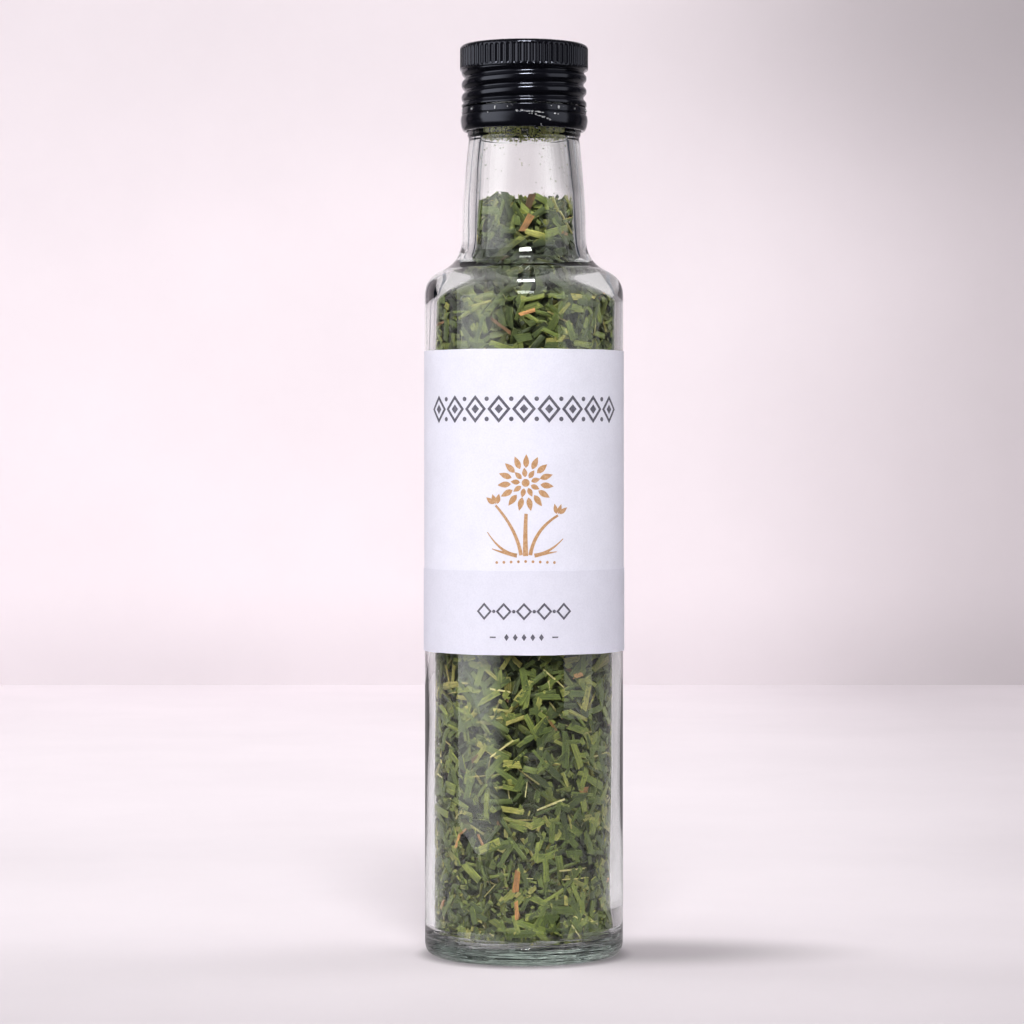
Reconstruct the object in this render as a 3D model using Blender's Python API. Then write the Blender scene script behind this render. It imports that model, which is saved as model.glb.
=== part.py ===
"""A clear glass bottle filled with dried cut chives, closed by a black aluminium screw cap.

Units are metres and +Z is up. The origin is the centre of the base, on the surface that the
bottle stands on, and the front of the label faces -Y.
"""
import math
import random

import bmesh
import bpy
from mathutils import Matrix, Vector

MM = 0.001
TAU = 2 * math.pi
SEGMENTS = 40
CLEARANCE = 0.3 * MM

# Glass bottle, outside
BODY_RADIUS = 24.4 * MM
HEEL_HEIGHT = 3.6 * MM
BEARING_OUTER_RADIUS = 21.2 * MM
BEARING_INNER_RADIUS = 18.6 * MM
PUSH_UP_RADIUS = 16.5 * MM
PUSH_UP_HEIGHT = 2.4 * MM
SHOULDER_START_Z = 162.0 * MM
SHOULDER_MID = (20.15 * MM, 168.3 * MM)
NECK_RADIUS = 15.15 * MM
NECK_START_Z = 177.2 * MM
NECK_TAPER_Z = 183.5 * MM
NECK_TOP_RADIUS = 13.55 * MM
NECK_TOP_Z = 200.6 * MM
COLLAR_RADIUS = 13.9 * MM
COLLAR_TOP_Z = 202.5 * MM
LOCK_RADIUS = 14.5 * MM
LOCK_BOTTOM_Z = 205.6 * MM
LOCK_TOP_Z = 207.2 * MM
RIM_Z = 221.1 * MM
RIM_OUTER_RADIUS = 13.3 * MM
RIM_INNER_RADIUS = 11.0 * MM

# Glass bottle, inside
BORE_RADIUS = 10.3 * MM
BORE_BOTTOM_Z = 203.5 * MM
BORE_FLARE = (11.25 * MM, 195.0 * MM)
NECK_INSIDE_RADIUS = 12.2 * MM
NECK_INSIDE_TOP_Z = 187.0 * MM
NECK_INSIDE_Z = 178.0 * MM
SHOULDER_INSIDE_MID = (16.7 * MM, 167.3 * MM)
BODY_INSIDE_RADIUS = 22.1 * MM
SHOULDER_INSIDE_Z = 160.0 * MM
FLOOR_CORNER = 4.6 * MM
FLOOR_CURVE = 2.4 * MM
FLOOR_Z = 3.5 * MM
FLOOR_CENTRE_Z = 5.7 * MM

# Labels, in a shallow panel of the body
LABEL_BOTTOM_Z = 75.1 * MM
LABEL_TOP_Z = 148.5 * MM
STRIP_TOP_Z = 95.3 * MM
PAPER = 0.25 * MM
PANEL_RADIUS = 23.95 * MM
PANEL_MARGIN = 0.5 * MM
LABEL_RADIUS = 24.15 * MM
STRIP_RADIUS = 24.55 * MM
LABEL_SEAM = 4.0 * MM
STRIP_SEAM = 9.0 * MM

# Screw thread, shared by the glass and the cap
PITCH = 3.2 * MM
THREAD_DEPTH = 0.6 * MM
THREAD_ROOT_RADIUS = 13.95 * MM
THREAD_GROOVE_Z = 213.8 * MM
THREAD_BOTTOM_Z = 208.7 * MM
THREAD_TOP_Z = 217.6 * MM
THREAD_FADE = 1.0 * MM
THREAD_ROWS = 11

# Cap
CAP_TOP_Z = 223.7 * MM
CAP_BOTTOM_Z = 208.4 * MM
CAP_WALL = 0.5 * MM
CAP_CREST_RADIUS = THREAD_ROOT_RADIUS + THREAD_DEPTH + CLEARANCE + CAP_WALL
CROWN_RADIUS = 15.72 * MM
CROWN_EDGE_RADIUS = 14.4 * MM
CROWN_INSIDE_RADIUS = 15.0 * MM
CROWN_BOTTOM_Z = 217.4 * MM
FLUTE_DEPTH = 0.45 * MM
FLUTE_TOP_Z = 222.4 * MM
FLUTE_BOTTOM_Z = 218.0 * MM
LINER_RADIUS = 14.5 * MM
LINER_THICKNESS = 1.4 * MM

# Tamper ring
RING_TOP_Z = 208.1 * MM
RING_BOTTOM_Z = 202.8 * MM
RING_TOP_RADIUS = 15.2 * MM
RING_BULGE_RADIUS = 15.55 * MM
RING_CURL_RADIUS = 14.55 * MM

# Dried chives
FILL_GAP = 0.35 * MM
CORE_INSET = 1.9 * MM
FILL_TOP_Z = 186.5 * MM
FLAKE_LENGTH = 9.4 * MM
FLAKE_WIDTH = 4.0 * MM
FLAKE_HEIGHT = 2.4 * MM
FLAKE_ROW_STEP = 6.8 * MM
FLAKE_SPACING = 10.5 * MM
FLAKE_LIMIT_Z = 184.5 * MM
TOP_FLAKES = 5
CORE_SEGMENTS = 24
SEED = 7


def clear_scene():
    """Remove every object that the file starts with."""
    for old in list(bpy.data.objects):
        bpy.data.objects.remove(old, do_unlink=True)


def material(name, colour, roughness, metallic=0.0, transmission=0.0):
    """Return a plain material in the piece's own colour."""
    made = bpy.data.materials.new(name)
    made.use_nodes = True
    shader = made.node_tree.nodes["Principled BSDF"]
    shader.inputs["Base Color"].default_value = (*colour, 1.0)
    shader.inputs["Roughness"].default_value = roughness
    shader.inputs["Metallic"].default_value = metallic
    shader.inputs["Transmission Weight"].default_value = transmission
    made.diffuse_color = (*colour, 1.0)
    return made


def add_object(name, mesh, finish, origin=(0.0, 0.0, 0.0)):
    """Put a mesh in the scene, shaded smooth, with its origin moved to the given point."""
    mesh.materials.append(finish)
    mesh.shade_smooth()
    mesh.set_sharp_from_angle(angle=math.radians(28))
    mesh.transform(Matrix.Translation(-Vector(origin)))
    made = bpy.data.objects.new(name, mesh)
    made.location = origin
    bpy.context.scene.collection.objects.link(made)
    return made


def bezier(start, pull_a, pull_b, end, steps):
    """Return the points of a cubic curve, without its start."""
    points = []
    for step in range(1, steps + 1):
        t = step / steps
        weights = ((1 - t) ** 3, 3 * (1 - t) ** 2 * t, 3 * (1 - t) * t * t, t ** 3)
        corners = (start, pull_a, pull_b, end)
        points.append(tuple(sum(w * p[axis] for w, p in zip(weights, corners)) for axis in (0, 1)))
    return points


def circle(radius, z, columns=SEGMENTS):
    """Return a level ring of points. The radius may be a function of the angle."""
    points = []
    for column in range(columns):
        angle = TAU * column / columns
        r = radius(angle) if callable(radius) else radius
        points.append(Vector((r * math.cos(angle), r * math.sin(angle), z)))
    return points


def join_rings(bm, low, high):
    """Join two rings of vertices, where one may have twice as many as the other."""
    if len(high) < len(low):
        low, high = high, low
    step = len(high) // len(low)
    for i, corner in enumerate(low):
        after = low[(i + 1) % len(low)]
        if step == 1:
            bm.faces.new((corner, after, high[(i + 1) % len(high)], high[i]))
        else:
            first, middle, last = high[2 * i], high[2 * i + 1], high[(2 * i + 2) % len(high)]
            bm.faces.new((corner, middle, first))
            bm.faces.new((corner, after, middle))
            bm.faces.new((after, last, middle))


def turned_mesh(name, rings, start_z=None, end_z=None):
    """Skin a row of rings. With two centre heights the ends close on the axis, or else the row
    closes on itself."""
    bm = bmesh.new()
    rows = [[bm.verts.new(point) for point in ring] for ring in rings]
    for low, high in zip(rows, rows[1:]):
        join_rings(bm, low, high)
    if start_z is None:
        join_rings(bm, rows[-1], rows[0])
    else:
        for row, height in ((rows[0], start_z), (rows[-1], end_z)):
            centre = bm.verts.new((0.0, 0.0, height))
            for i, corner in enumerate(row):
                bm.faces.new((centre, corner, row[(i + 1) % len(row)]))
    bmesh.ops.recalc_face_normals(bm, faces=bm.faces)
    bmesh.ops.triangulate(bm, faces=bm.faces, quad_method="SHORT_EDGE")
    mesh = bpy.data.meshes.new(name)
    bm.to_mesh(mesh)
    bm.free()
    return mesh


def thread_fade(z):
    """1 along the thread, falling to 0 at both of its ends."""
    inside = min(z - THREAD_BOTTOM_Z, THREAD_TOP_Z - z) / THREAD_FADE
    return max(0.0, min(1.0, inside))


def thread_wave(angle, z):
    """1 in the groove that is rolled into the cap, 0 half a pitch away, along a right-hand helix."""
    phase = (z - THREAD_GROOVE_Z) / PITCH - angle / TAU
    return 0.5 + 0.5 * math.cos(TAU * phase)


def glass_thread(z):
    """Return the radius of the glass thread at a height, as a function of the angle."""
    return lambda angle: THREAD_ROOT_RADIUS + THREAD_DEPTH * (1 - thread_wave(angle, z)) * thread_fade(z)


def cap_thread(z, crest):
    """Return the radius of the cap's skirt at a height, as a function of the angle."""
    return lambda angle: crest - THREAD_DEPTH * thread_wave(angle, z) * thread_fade(z)


def thread_heights():
    """Return the heights of the rings that the thread is made of, from the bottom up."""
    span = THREAD_TOP_Z - THREAD_BOTTOM_Z
    return [THREAD_BOTTOM_Z + span * row / THREAD_ROWS for row in range(THREAD_ROWS + 1)]


def glass_outside():
    """Return the outer profile from the push-up to the collar, as radius and height."""
    heel = bezier((BEARING_OUTER_RADIUS, 0.0), (23.4 * MM, 0.0), (BODY_RADIUS, 1.3 * MM),
                  (BODY_RADIUS, HEEL_HEIGHT), 3)
    panel = [(BODY_RADIUS, LABEL_BOTTOM_Z - PANEL_MARGIN), (PANEL_RADIUS, LABEL_BOTTOM_Z - PANEL_MARGIN / 2),
             (PANEL_RADIUS, LABEL_TOP_Z + PANEL_MARGIN / 2), (BODY_RADIUS, LABEL_TOP_Z + PANEL_MARGIN)]
    shoulder = bezier((BODY_RADIUS, SHOULDER_START_Z), (BODY_RADIUS, 165.2 * MM), (22.9 * MM, 167.1 * MM),
                      SHOULDER_MID, 4)
    root = bezier(SHOULDER_MID, (17.0 * MM, 169.9 * MM), (15.2 * MM, 172.2 * MM), (NECK_RADIUS, NECK_START_Z), 4)
    neck = [(NECK_RADIUS, NECK_TAPER_Z), (14.75 * MM, 189.0 * MM), (NECK_TOP_RADIUS, NECK_TOP_Z),
            (COLLAR_RADIUS, 201.1 * MM), (COLLAR_RADIUS, COLLAR_TOP_Z)]
    base = [(PUSH_UP_RADIUS, 1.0 * MM), (BEARING_INNER_RADIUS, 0.0), (BEARING_OUTER_RADIUS, 0.0)]
    return base + heel + panel + [(BODY_RADIUS, SHOULDER_START_Z)] + shoulder + root + neck


def glass_finish():
    """Return the rings of the locking ring, the thread and the rim, from the bottom up."""
    lock = [(13.7 * MM, 203.2 * MM), (13.7 * MM, 205.2 * MM), (LOCK_RADIUS, LOCK_BOTTOM_Z),
            (LOCK_RADIUS, LOCK_TOP_Z - 0.4 * MM), (THREAD_ROOT_RADIUS, LOCK_TOP_Z)]
    rings = [circle(r, z) for r, z in lock]
    rings += [circle(glass_thread(z), z) for z in thread_heights()]
    rim = [(THREAD_ROOT_RADIUS, RIM_Z - 0.7 * MM), (RIM_OUTER_RADIUS, RIM_Z), (RIM_INNER_RADIUS, RIM_Z)]
    return rings + [circle(r, z) for r, z in rim]


def glass_inside():
    """Return the inner profile from the rim down to the floor, as radius and height."""
    neck = [(BORE_RADIUS, RIM_Z - 0.8 * MM), (BORE_RADIUS, BORE_BOTTOM_Z), BORE_FLARE,
            (NECK_INSIDE_RADIUS, NECK_INSIDE_TOP_Z), (NECK_INSIDE_RADIUS, NECK_INSIDE_Z)]
    flare = bezier(neck[-1], (12.2 * MM, 170.5 * MM), (13.3 * MM, 168.3 * MM), SHOULDER_INSIDE_MID, 3)
    shoulder = bezier(SHOULDER_INSIDE_MID, (20.1 * MM, 165.3 * MM), (BODY_INSIDE_RADIUS, 163.6 * MM),
                      (BODY_INSIDE_RADIUS, SHOULDER_INSIDE_Z), 3)
    corner_top = (BODY_INSIDE_RADIUS, FLOOR_Z + FLOOR_CORNER)
    corner = bezier(corner_top, (BODY_INSIDE_RADIUS, FLOOR_Z + FLOOR_CURVE), (20.8 * MM, FLOOR_Z),
                    (BODY_INSIDE_RADIUS - FLOOR_CORNER, FLOOR_Z), 3)
    return neck + flare + shoulder + [corner_top] + corner


def make_glass(finish):
    """Blow the bottle: one closed wall, turned round the axis, with a real thread."""
    rings = [circle(r, z) for r, z in glass_outside()]
    rings += glass_finish()
    rings += [circle(r, z) for r, z in glass_inside()]
    return add_object("glass_bottle", turned_mesh("glass_bottle", rings, PUSH_UP_HEIGHT, FLOOR_CENTRE_Z), finish)


def fluted(depth):
    """Return the crown's radius as a function of the angle, with every other column cut in."""
    def radius(angle):
        column = round(angle / TAU * 2 * SEGMENTS)
        return CROWN_RADIUS - depth * (column % 2)
    return radius


def make_cap(finish):
    """Form the cap: a fluted crown over a skirt that is rolled into the glass thread."""
    wide = 2 * SEGMENTS
    rings = [circle(CROWN_EDGE_RADIUS, CAP_TOP_Z), circle(15.3 * MM, CAP_TOP_Z - 0.35 * MM),
             circle(CROWN_RADIUS, CAP_TOP_Z - 1.0 * MM, wide), circle(fluted(FLUTE_DEPTH), FLUTE_TOP_Z, wide),
             circle(fluted(FLUTE_DEPTH), FLUTE_BOTTOM_Z, wide), circle(CROWN_RADIUS, CROWN_BOTTOM_Z + 0.2 * MM, wide)]
    skirt = [z for z in reversed(thread_heights()) if z < CROWN_BOTTOM_Z]
    rings.append(circle(cap_thread(CROWN_BOTTOM_Z, CAP_CREST_RADIUS), CROWN_BOTTOM_Z))
    rings += [circle(cap_thread(z, CAP_CREST_RADIUS), z) for z in skirt]
    rings += [circle(CAP_CREST_RADIUS, CAP_BOTTOM_Z), circle(CAP_CREST_RADIUS - CAP_WALL, CAP_BOTTOM_Z)]
    rings += [circle(cap_thread(z, CAP_CREST_RADIUS - CAP_WALL), z) for z in reversed(skirt)]
    under = CAP_TOP_Z - 0.6 * MM
    rings += [circle(CROWN_INSIDE_RADIUS, CROWN_BOTTOM_Z + 0.3 * MM), circle(CROWN_INSIDE_RADIUS, under - 0.6 * MM),
              circle(CROWN_INSIDE_RADIUS - 0.6 * MM, under)]
    mesh = turned_mesh("cap_shell", rings, CAP_TOP_Z, under)
    return add_object("cap_shell", mesh, finish, (0.0, 0.0, CAP_BOTTOM_Z))


def make_liner(finish):
    """Make the soft sealing disc between the crown and the rim."""
    top = CAP_TOP_Z - 0.6 * MM - CLEARANCE
    bottom = top - LINER_THICKNESS
    edge = 0.25 * MM
    profile = [(LINER_RADIUS - edge, top), (LINER_RADIUS, top - edge), (LINER_RADIUS, bottom + edge),
               (LINER_RADIUS - edge, bottom)]
    mesh = turned_mesh("cap_liner", [circle(r, z) for r, z in profile], top, bottom)
    return add_object("cap_liner", mesh, finish, (0.0, 0.0, bottom))


def make_tamper_ring(finish):
    """Make the band that stays on the neck, curled in under the locking ring."""
    outside = [(RING_TOP_RADIUS, RING_TOP_Z), (RING_BULGE_RADIUS - 0.12 * MM, RING_TOP_Z - 0.7 * MM),
               (RING_BULGE_RADIUS, RING_TOP_Z - 2.6 * MM), (RING_BULGE_RADIUS - 0.15 * MM, RING_BOTTOM_Z + 1.2 * MM),
               (15.1 * MM, RING_BOTTOM_Z + 0.4 * MM), (RING_CURL_RADIUS, RING_BOTTOM_Z)]
    inside = [(14.15 * MM, RING_BOTTOM_Z + 0.25 * MM), (14.3 * MM, RING_BOTTOM_Z + 0.7 * MM),
              (14.9 * MM, RING_BOTTOM_Z + 1.5 * MM), (15.0 * MM, RING_TOP_Z - 2.6 * MM),
              (RING_TOP_RADIUS - 0.45 * MM, RING_TOP_Z)]
    rings = [circle(r, z) for r, z in outside + inside]
    return add_object("tamper_ring", turned_mesh("tamper_ring", rings), finish)


def wrap_angles(radius, seam):
    """Return the angles of a paper band that leaves a seam open at the back, lined up with the glass."""
    half = seam / 2 / radius
    start, end = TAU / 4 + half, TAU / 4 + TAU - half
    between = [TAU * column / SEGMENTS for column in range(SEGMENTS * 2)]
    return [start] + [angle for angle in between if start < angle < end] + [end]


def make_wrap(name, radius, bottom, top, seam, finish):
    """Make a paper band round the body."""
    corners = ((radius, bottom), (radius + PAPER, bottom), (radius + PAPER, top), (radius, top))
    bm = bmesh.new()
    rows = []
    for angle in wrap_angles(radius, seam):
        rows.append([bm.verts.new((r * math.cos(angle), r * math.sin(angle), z)) for r, z in corners])
    for near, far in zip(rows, rows[1:]):
        for i, corner in enumerate(near):
            after = (i + 1) % len(near)
            bm.faces.new((corner, near[after], far[after], far[i]))
    bm.faces.new(rows[0])
    bm.faces.new(rows[-1])
    bmesh.ops.recalc_face_normals(bm, faces=bm.faces)
    mesh = bpy.data.meshes.new(name)
    bm.to_mesh(mesh)
    bm.free()
    return add_object(name, mesh, finish)


def inside_radius(z):
    """Return the radius of the inner wall at a height."""
    wall = glass_inside()
    for (r_high, z_high), (r_low, z_low) in zip(wall, wall[1:]):
        if z_low <= z <= z_high:
            share = (z - z_low) / max(z_high - z_low, 1e-9)
            return r_low + (r_high - r_low) * share
    return BODY_INSIDE_RADIUS - FLOOR_CORNER


def fill_core(name):
    """Return the packed middle of the chives, a turned body that stays inside the wall."""
    inset = FILL_GAP + CORE_INSET
    heights = [FLOOR_CENTRE_Z + 0.4 * MM, 9.0 * MM, 12.0 * MM, 60.0 * MM, 110.0 * MM, 159.0 * MM, 163.0 * MM,
               165.5 * MM, 166.6 * MM, 168.0 * MM, 170.0 * MM, 178.0 * MM, FILL_TOP_Z - 3.0 * MM,
               FILL_TOP_Z - 1.5 * MM]
    drop = [2.0 * MM] + [0.0] * (len(heights) - 2) + [1.5 * MM]
    rings = [circle(inside_radius(z) - inset - less, z, CORE_SEGMENTS) for z, less in zip(heights, drop)]
    return turned_mesh(name, rings, heights[0], FILL_TOP_Z - 0.9 * MM)


def flake_mesh(draw):
    """Return one cut flake along X: a flattened stem with a ridge and two slanting ends."""
    half = FLAKE_LENGTH / 2 * draw.uniform(0.82, 1.12)
    wide = FLAKE_WIDTH / 2 * draw.uniform(0.85, 1.15)
    lean = draw.uniform(-0.35, 0.35) * wide
    bm = bmesh.new()
    ends = []
    for side in (-1, 1):
        slant = draw.uniform(-0.9, 0.9) * MM
        corners = ((side * half - slant, -wide, 0.0), (side * half + slant, wide, 0.0),
                   (side * (half - 0.5 * MM), lean, FLAKE_HEIGHT))
        ends.append([bm.verts.new(corner) for corner in corners])
    for i in range(3):
        bm.faces.new((ends[0][i], ends[0][(i + 1) % 3], ends[1][(i + 1) % 3], ends[1][i]))
    bm.faces.new(ends[0])
    bm.faces.new(ends[1])
    bmesh.ops.recalc_face_normals(bm, faces=bm.faces)
    mesh = bpy.data.meshes.new("flake")
    bm.to_mesh(mesh)
    bm.free()
    return mesh, half


def wall_flake(draw, around, z):
    """Place one flake flat against the wall, turned at random, and return its mesh."""
    mesh, half = flake_mesh(draw)
    turn = draw.uniform(-math.pi / 2, math.pi / 2)
    reach = half * abs(math.cos(turn)) + FLAKE_WIDTH / 4 * abs(math.sin(turn))
    rise = half * abs(math.sin(turn)) + FLAKE_WIDTH / 2 * abs(math.cos(turn))
    room = min(inside_radius(z + rise * part) for part in (-1, -0.5, 0, 0.5, 1)) - FILL_GAP
    ridge = math.sqrt(room * room - reach * reach) - draw.uniform(0.05, 0.3) * MM
    out = Matrix.Rotation(around, 4, "Z") @ Matrix.Translation((ridge - FLAKE_HEIGHT, 0.0, z))
    face = Matrix(((0, 0, 1, 0), (1, 0, 0, 0), (0, 1, 0, 0), (0, 0, 0, 1)))
    mesh.transform(out @ face @ Matrix.Rotation(turn, 4, "Z"))
    return mesh


def flakes(draw):
    """Return the flakes that cover the core: rows round the wall and a few on the top."""
    made = []
    z = FLOOR_Z + 6.5 * MM
    while z < FLAKE_LIMIT_Z:
        count = max(6, round(TAU * inside_radius(z) / FLAKE_SPACING))
        start = draw.uniform(0.0, TAU)
        for i in range(count):
            around = start + TAU * (i + draw.uniform(-0.16, 0.16)) / count
            height = min(z + draw.uniform(-1.0, 1.0) * MM, FLAKE_LIMIT_Z - 3.0 * MM)
            made.append(wall_flake(draw, around, height))
        z += FLAKE_ROW_STEP
    for i in range(TOP_FLAKES):
        mesh, _ = flake_mesh(draw)
        height = FILL_TOP_Z - draw.uniform(2.1, 2.7) * MM
        place = Matrix.Translation((0.0, 0.0, height)) @ Matrix.Rotation(TAU * i / TOP_FLAKES, 4, "Z")
        slide = Matrix.Translation((4.8 * MM, 0.0, 0.0)) @ Matrix.Rotation(draw.uniform(0, math.pi), 4, "Z")
        mesh.transform(place @ slide @ Matrix.Rotation(draw.uniform(-0.1, 0.1), 4, "Y"))
        made.append(mesh)
    return made


def make_fill(finish):
    """Fuse the flakes with the core that they lie on, as one loose mass of cut chives."""
    fill = bpy.data.objects.new("chive_fill", fill_core("chive_fill"))
    bpy.context.scene.collection.objects.link(fill)
    repeats = bpy.data.collections.new("flakes")
    bpy.context.scene.collection.children.link(repeats)
    for mesh in flakes(random.Random(SEED)):
        repeats.objects.link(bpy.data.objects.new("flake", mesh))
    union = fill.modifiers.new("flakes", "BOOLEAN")
    union.operation = "UNION"
    union.solver = "MANIFOLD"
    union.operand_type = "COLLECTION"
    union.collection = repeats
    bpy.context.view_layer.update()
    fused = bpy.data.meshes.new_from_object(fill.evaluated_get(bpy.context.evaluated_depsgraph_get()))
    fill.modifiers.clear()
    for flake in list(repeats.objects):
        bpy.data.objects.remove(flake, do_unlink=True)
    bpy.data.collections.remove(repeats)
    bpy.data.objects.remove(fill, do_unlink=True)
    fused.materials.clear()
    return add_object("chive_fill", fused, finish)


def main():
    """Build the bottle, its cap, its labels and what is in it."""
    clear_scene()
    glass = material("clear_glass", (0.90, 0.95, 0.93), 0.03, transmission=0.9)
    lacquer = material("black_lacquer", (0.012, 0.012, 0.016), 0.28, metallic=0.2)
    foam = material("liner_foam", (0.82, 0.82, 0.80), 0.6)
    paper = material("white_paper", (0.82, 0.80, 0.88), 0.55)
    strip_paper = material("strip_paper", (0.76, 0.74, 0.83), 0.55)
    chives = material("dried_chives", (0.10, 0.16, 0.025), 0.8)
    make_glass(glass)
    make_cap(lacquer)
    make_liner(foam)
    make_tamper_ring(lacquer)
    make_wrap("label", LABEL_RADIUS, LABEL_BOTTOM_Z, LABEL_TOP_Z, LABEL_SEAM, paper)
    make_wrap("label_strip", STRIP_RADIUS, LABEL_BOTTOM_Z, STRIP_TOP_Z, STRIP_SEAM, strip_paper)
    make_fill(chives)


main()
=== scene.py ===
"""Looks of a clear glass bottle filled with dried cut chives and closed by a black screw cap.

Every length is in metres, +Z is up, and the front of the label faces -Y.
"""

import logging
import math
from dataclasses import dataclass, field
from enum import Enum
from typing import Callable, Sequence

import bmesh
import bpy
import numpy as np
from mathutils import Euler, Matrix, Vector


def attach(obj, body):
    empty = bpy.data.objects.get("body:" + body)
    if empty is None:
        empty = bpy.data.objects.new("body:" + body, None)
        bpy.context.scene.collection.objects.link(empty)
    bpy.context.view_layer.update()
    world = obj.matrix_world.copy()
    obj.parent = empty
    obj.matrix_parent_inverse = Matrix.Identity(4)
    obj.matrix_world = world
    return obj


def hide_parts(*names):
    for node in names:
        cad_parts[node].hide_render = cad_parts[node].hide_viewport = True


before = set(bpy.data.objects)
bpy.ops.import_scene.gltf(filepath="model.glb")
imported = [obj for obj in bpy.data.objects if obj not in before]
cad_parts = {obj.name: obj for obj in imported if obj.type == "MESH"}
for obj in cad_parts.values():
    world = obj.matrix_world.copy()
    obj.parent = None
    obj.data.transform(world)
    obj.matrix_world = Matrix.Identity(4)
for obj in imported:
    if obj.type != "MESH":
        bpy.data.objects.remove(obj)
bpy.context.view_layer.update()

LOG = logging.getLogger("chive_bottle")
MM = 0.001
TAU = 2.0 * math.pi

Pair = tuple[float, float]
Triple = tuple[float, float, float]
Colour = tuple[float, float, float]
Profile = list[Pair]
Outline = list[Pair]
Array = np.ndarray
Warp = Callable[[Array, Array, Array], tuple[Array, Array]]
Socket = bpy.types.NodeSocket
Material = bpy.types.Material
WHITE: Colour = (1.0, 1.0, 1.0)


class Body(Enum):
    """The rigid bodies that pieces ride on."""

    BOTTLE = "bottle"
    SEAL = "seal"
    CAP = "cap"


class Slot(Enum):
    """The record's material slots."""

    GLASS = "clear_glass"
    LACQUER = "black_lacquer"
    FOAM = "liner_foam"
    PAPER = "white_paper"
    STRIP = "strip_paper"
    CHIVES = "dried_chives"


# Shapes shared by several pieces


def bezier(start: Pair, pull_a: Pair, pull_b: Pair, end: Pair, steps: int) -> Profile:
    """Sample a cubic curve.

    Args:
        start: First point, as radius and height.
        pull_a: Control point next to the start.
        pull_b: Control point next to the end.
        end: Last point.
        steps: How many points to return.

    Returns:
        The points after the start, up to and with the end.
    """
    t = np.linspace(0.0, 1.0, steps + 1)[1:, None]
    corners = np.array([start, pull_a, pull_b, end])
    weights = np.hstack([(1 - t) ** 3, 3 * (1 - t) ** 2 * t, 3 * (1 - t) * t * t, t ** 3])
    return [tuple(point) for point in weights @ corners]


def line(start: Pair, end: Pair, steps: int) -> Profile:
    """Sample a straight run.

    Args:
        start: First point, which isn't returned.
        end: Last point.
        steps: How many points to return.

    Returns:
        The points after the start, up to and with the end.
    """
    share = np.linspace(0.0, 1.0, steps + 1)[1:]
    return [(start[0] + (end[0] - start[0]) * s, start[1] + (end[1] - start[1]) * s) for s in share]


def rounded(points: Profile, radius: float, steps: int = 4) -> Profile:
    """Round the inner corners of a profile.

    Args:
        points: The corner points.
        radius: How far from a corner its rounding starts.
        steps: How many points each rounding has.

    Returns:
        The profile with its corners replaced by short curves.
    """
    smooth = [points[0]]
    for before, corner, after in zip(points, points[1:], points[2:]):
        pair = []
        for other in (before, after):
            gap = math.dist(corner, other)
            share = min(0.45, radius / gap)
            pair.append(tuple(c + (o - c) * share for c, o in zip(corner, other)))
        smooth.append(pair[0])
        smooth += bezier(pair[0], corner, corner, pair[1], steps)
    return smooth + [points[-1]]


def turned(name: str, profile: Profile, columns: int, warp: Warp | None = None,
           closed_ring: bool = False) -> bpy.types.Mesh:
    """Turn a profile round the Z axis.

    Args:
        name: Name of the mesh.
        profile: Radius and height of each ring.
        columns: How many points a ring has.
        warp: Changes radius and height from angle, radius and height.
        closed_ring: Join the last ring to the first instead of closing both ends on the axis.

    Returns:
        A closed mesh, shaded smooth.
    """
    rings = np.array(profile)
    angle = np.tile(np.arange(columns) * TAU / columns, (len(rings), 1))
    radius = np.repeat(rings[:, :1], columns, axis=1)
    height = np.repeat(rings[:, 1:], columns, axis=1)
    if warp:
        radius, height = warp(angle, radius, height)
    points = np.stack([radius * np.cos(angle), radius * np.sin(angle), height], axis=-1).reshape(-1, 3)
    index = np.arange(len(rings) * columns).reshape(len(rings), columns)
    rows = np.vstack([index, index[:1]]) if closed_ring else index
    beside = np.roll(rows, -1, axis=1)
    faces = np.stack([rows[:-1], beside[:-1], beside[1:], rows[1:]], axis=-1).reshape(-1, 4).tolist()
    if not closed_ring:
        first, last = len(points), len(points) + 1
        points = np.vstack([points, [[0, 0, profile[0][1]], [0, 0, profile[-1][1]]]])
        around = index[0]
        faces += [(first, int(b), int(a)) for a, b in zip(around, np.roll(around, -1))]
        around = index[-1]
        faces += [(last, int(a), int(b)) for a, b in zip(around, np.roll(around, -1))]
    mesh = bpy.data.meshes.new(name)
    mesh.from_pydata(points.tolist(), [], faces)
    face_outward(mesh)
    mesh.shade_smooth()
    return mesh


def face_outward(mesh: bpy.types.Mesh) -> None:
    """Turn a closed mesh's faces outward.

    Args:
        mesh: The mesh to change.
    """
    bm = bmesh.new()
    bm.from_mesh(mesh)
    bmesh.ops.recalc_face_normals(bm, faces=bm.faces)
    bm.to_mesh(mesh)
    bm.free()


def smoothstep(low: float, high: float, value: Array) -> Array:
    """Rise smoothly from 0 at low to 1 at high."""
    share = np.clip((value - low) / (high - low), 0.0, 1.0)
    return share * share * (3 - 2 * share)


def place(name: str, mesh: bpy.types.Mesh, finish: Material, body: Body,
          replaced: Sequence[str] = ()) -> bpy.types.Object:
    """Put a piece in the scene and tell the frame about it.

    Args:
        name: Name of the piece.
        mesh: Its mesh, already in the frame's coordinates.
        finish: Its material.
        body: The rigid body that it rides on.
        replaced: The solids that it stands for.

    Returns:
        The new object.
    """
    mesh.materials.clear()
    mesh.materials.append(finish)
    piece = bpy.data.objects.new(name, mesh)
    bpy.context.scene.collection.objects.link(piece)
    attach(piece, body.value)
    if replaced:
        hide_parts(*replaced)
    LOG.info("%s: %d faces on %s", name, len(mesh.polygons), body.value)
    return piece


# Finishes


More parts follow.
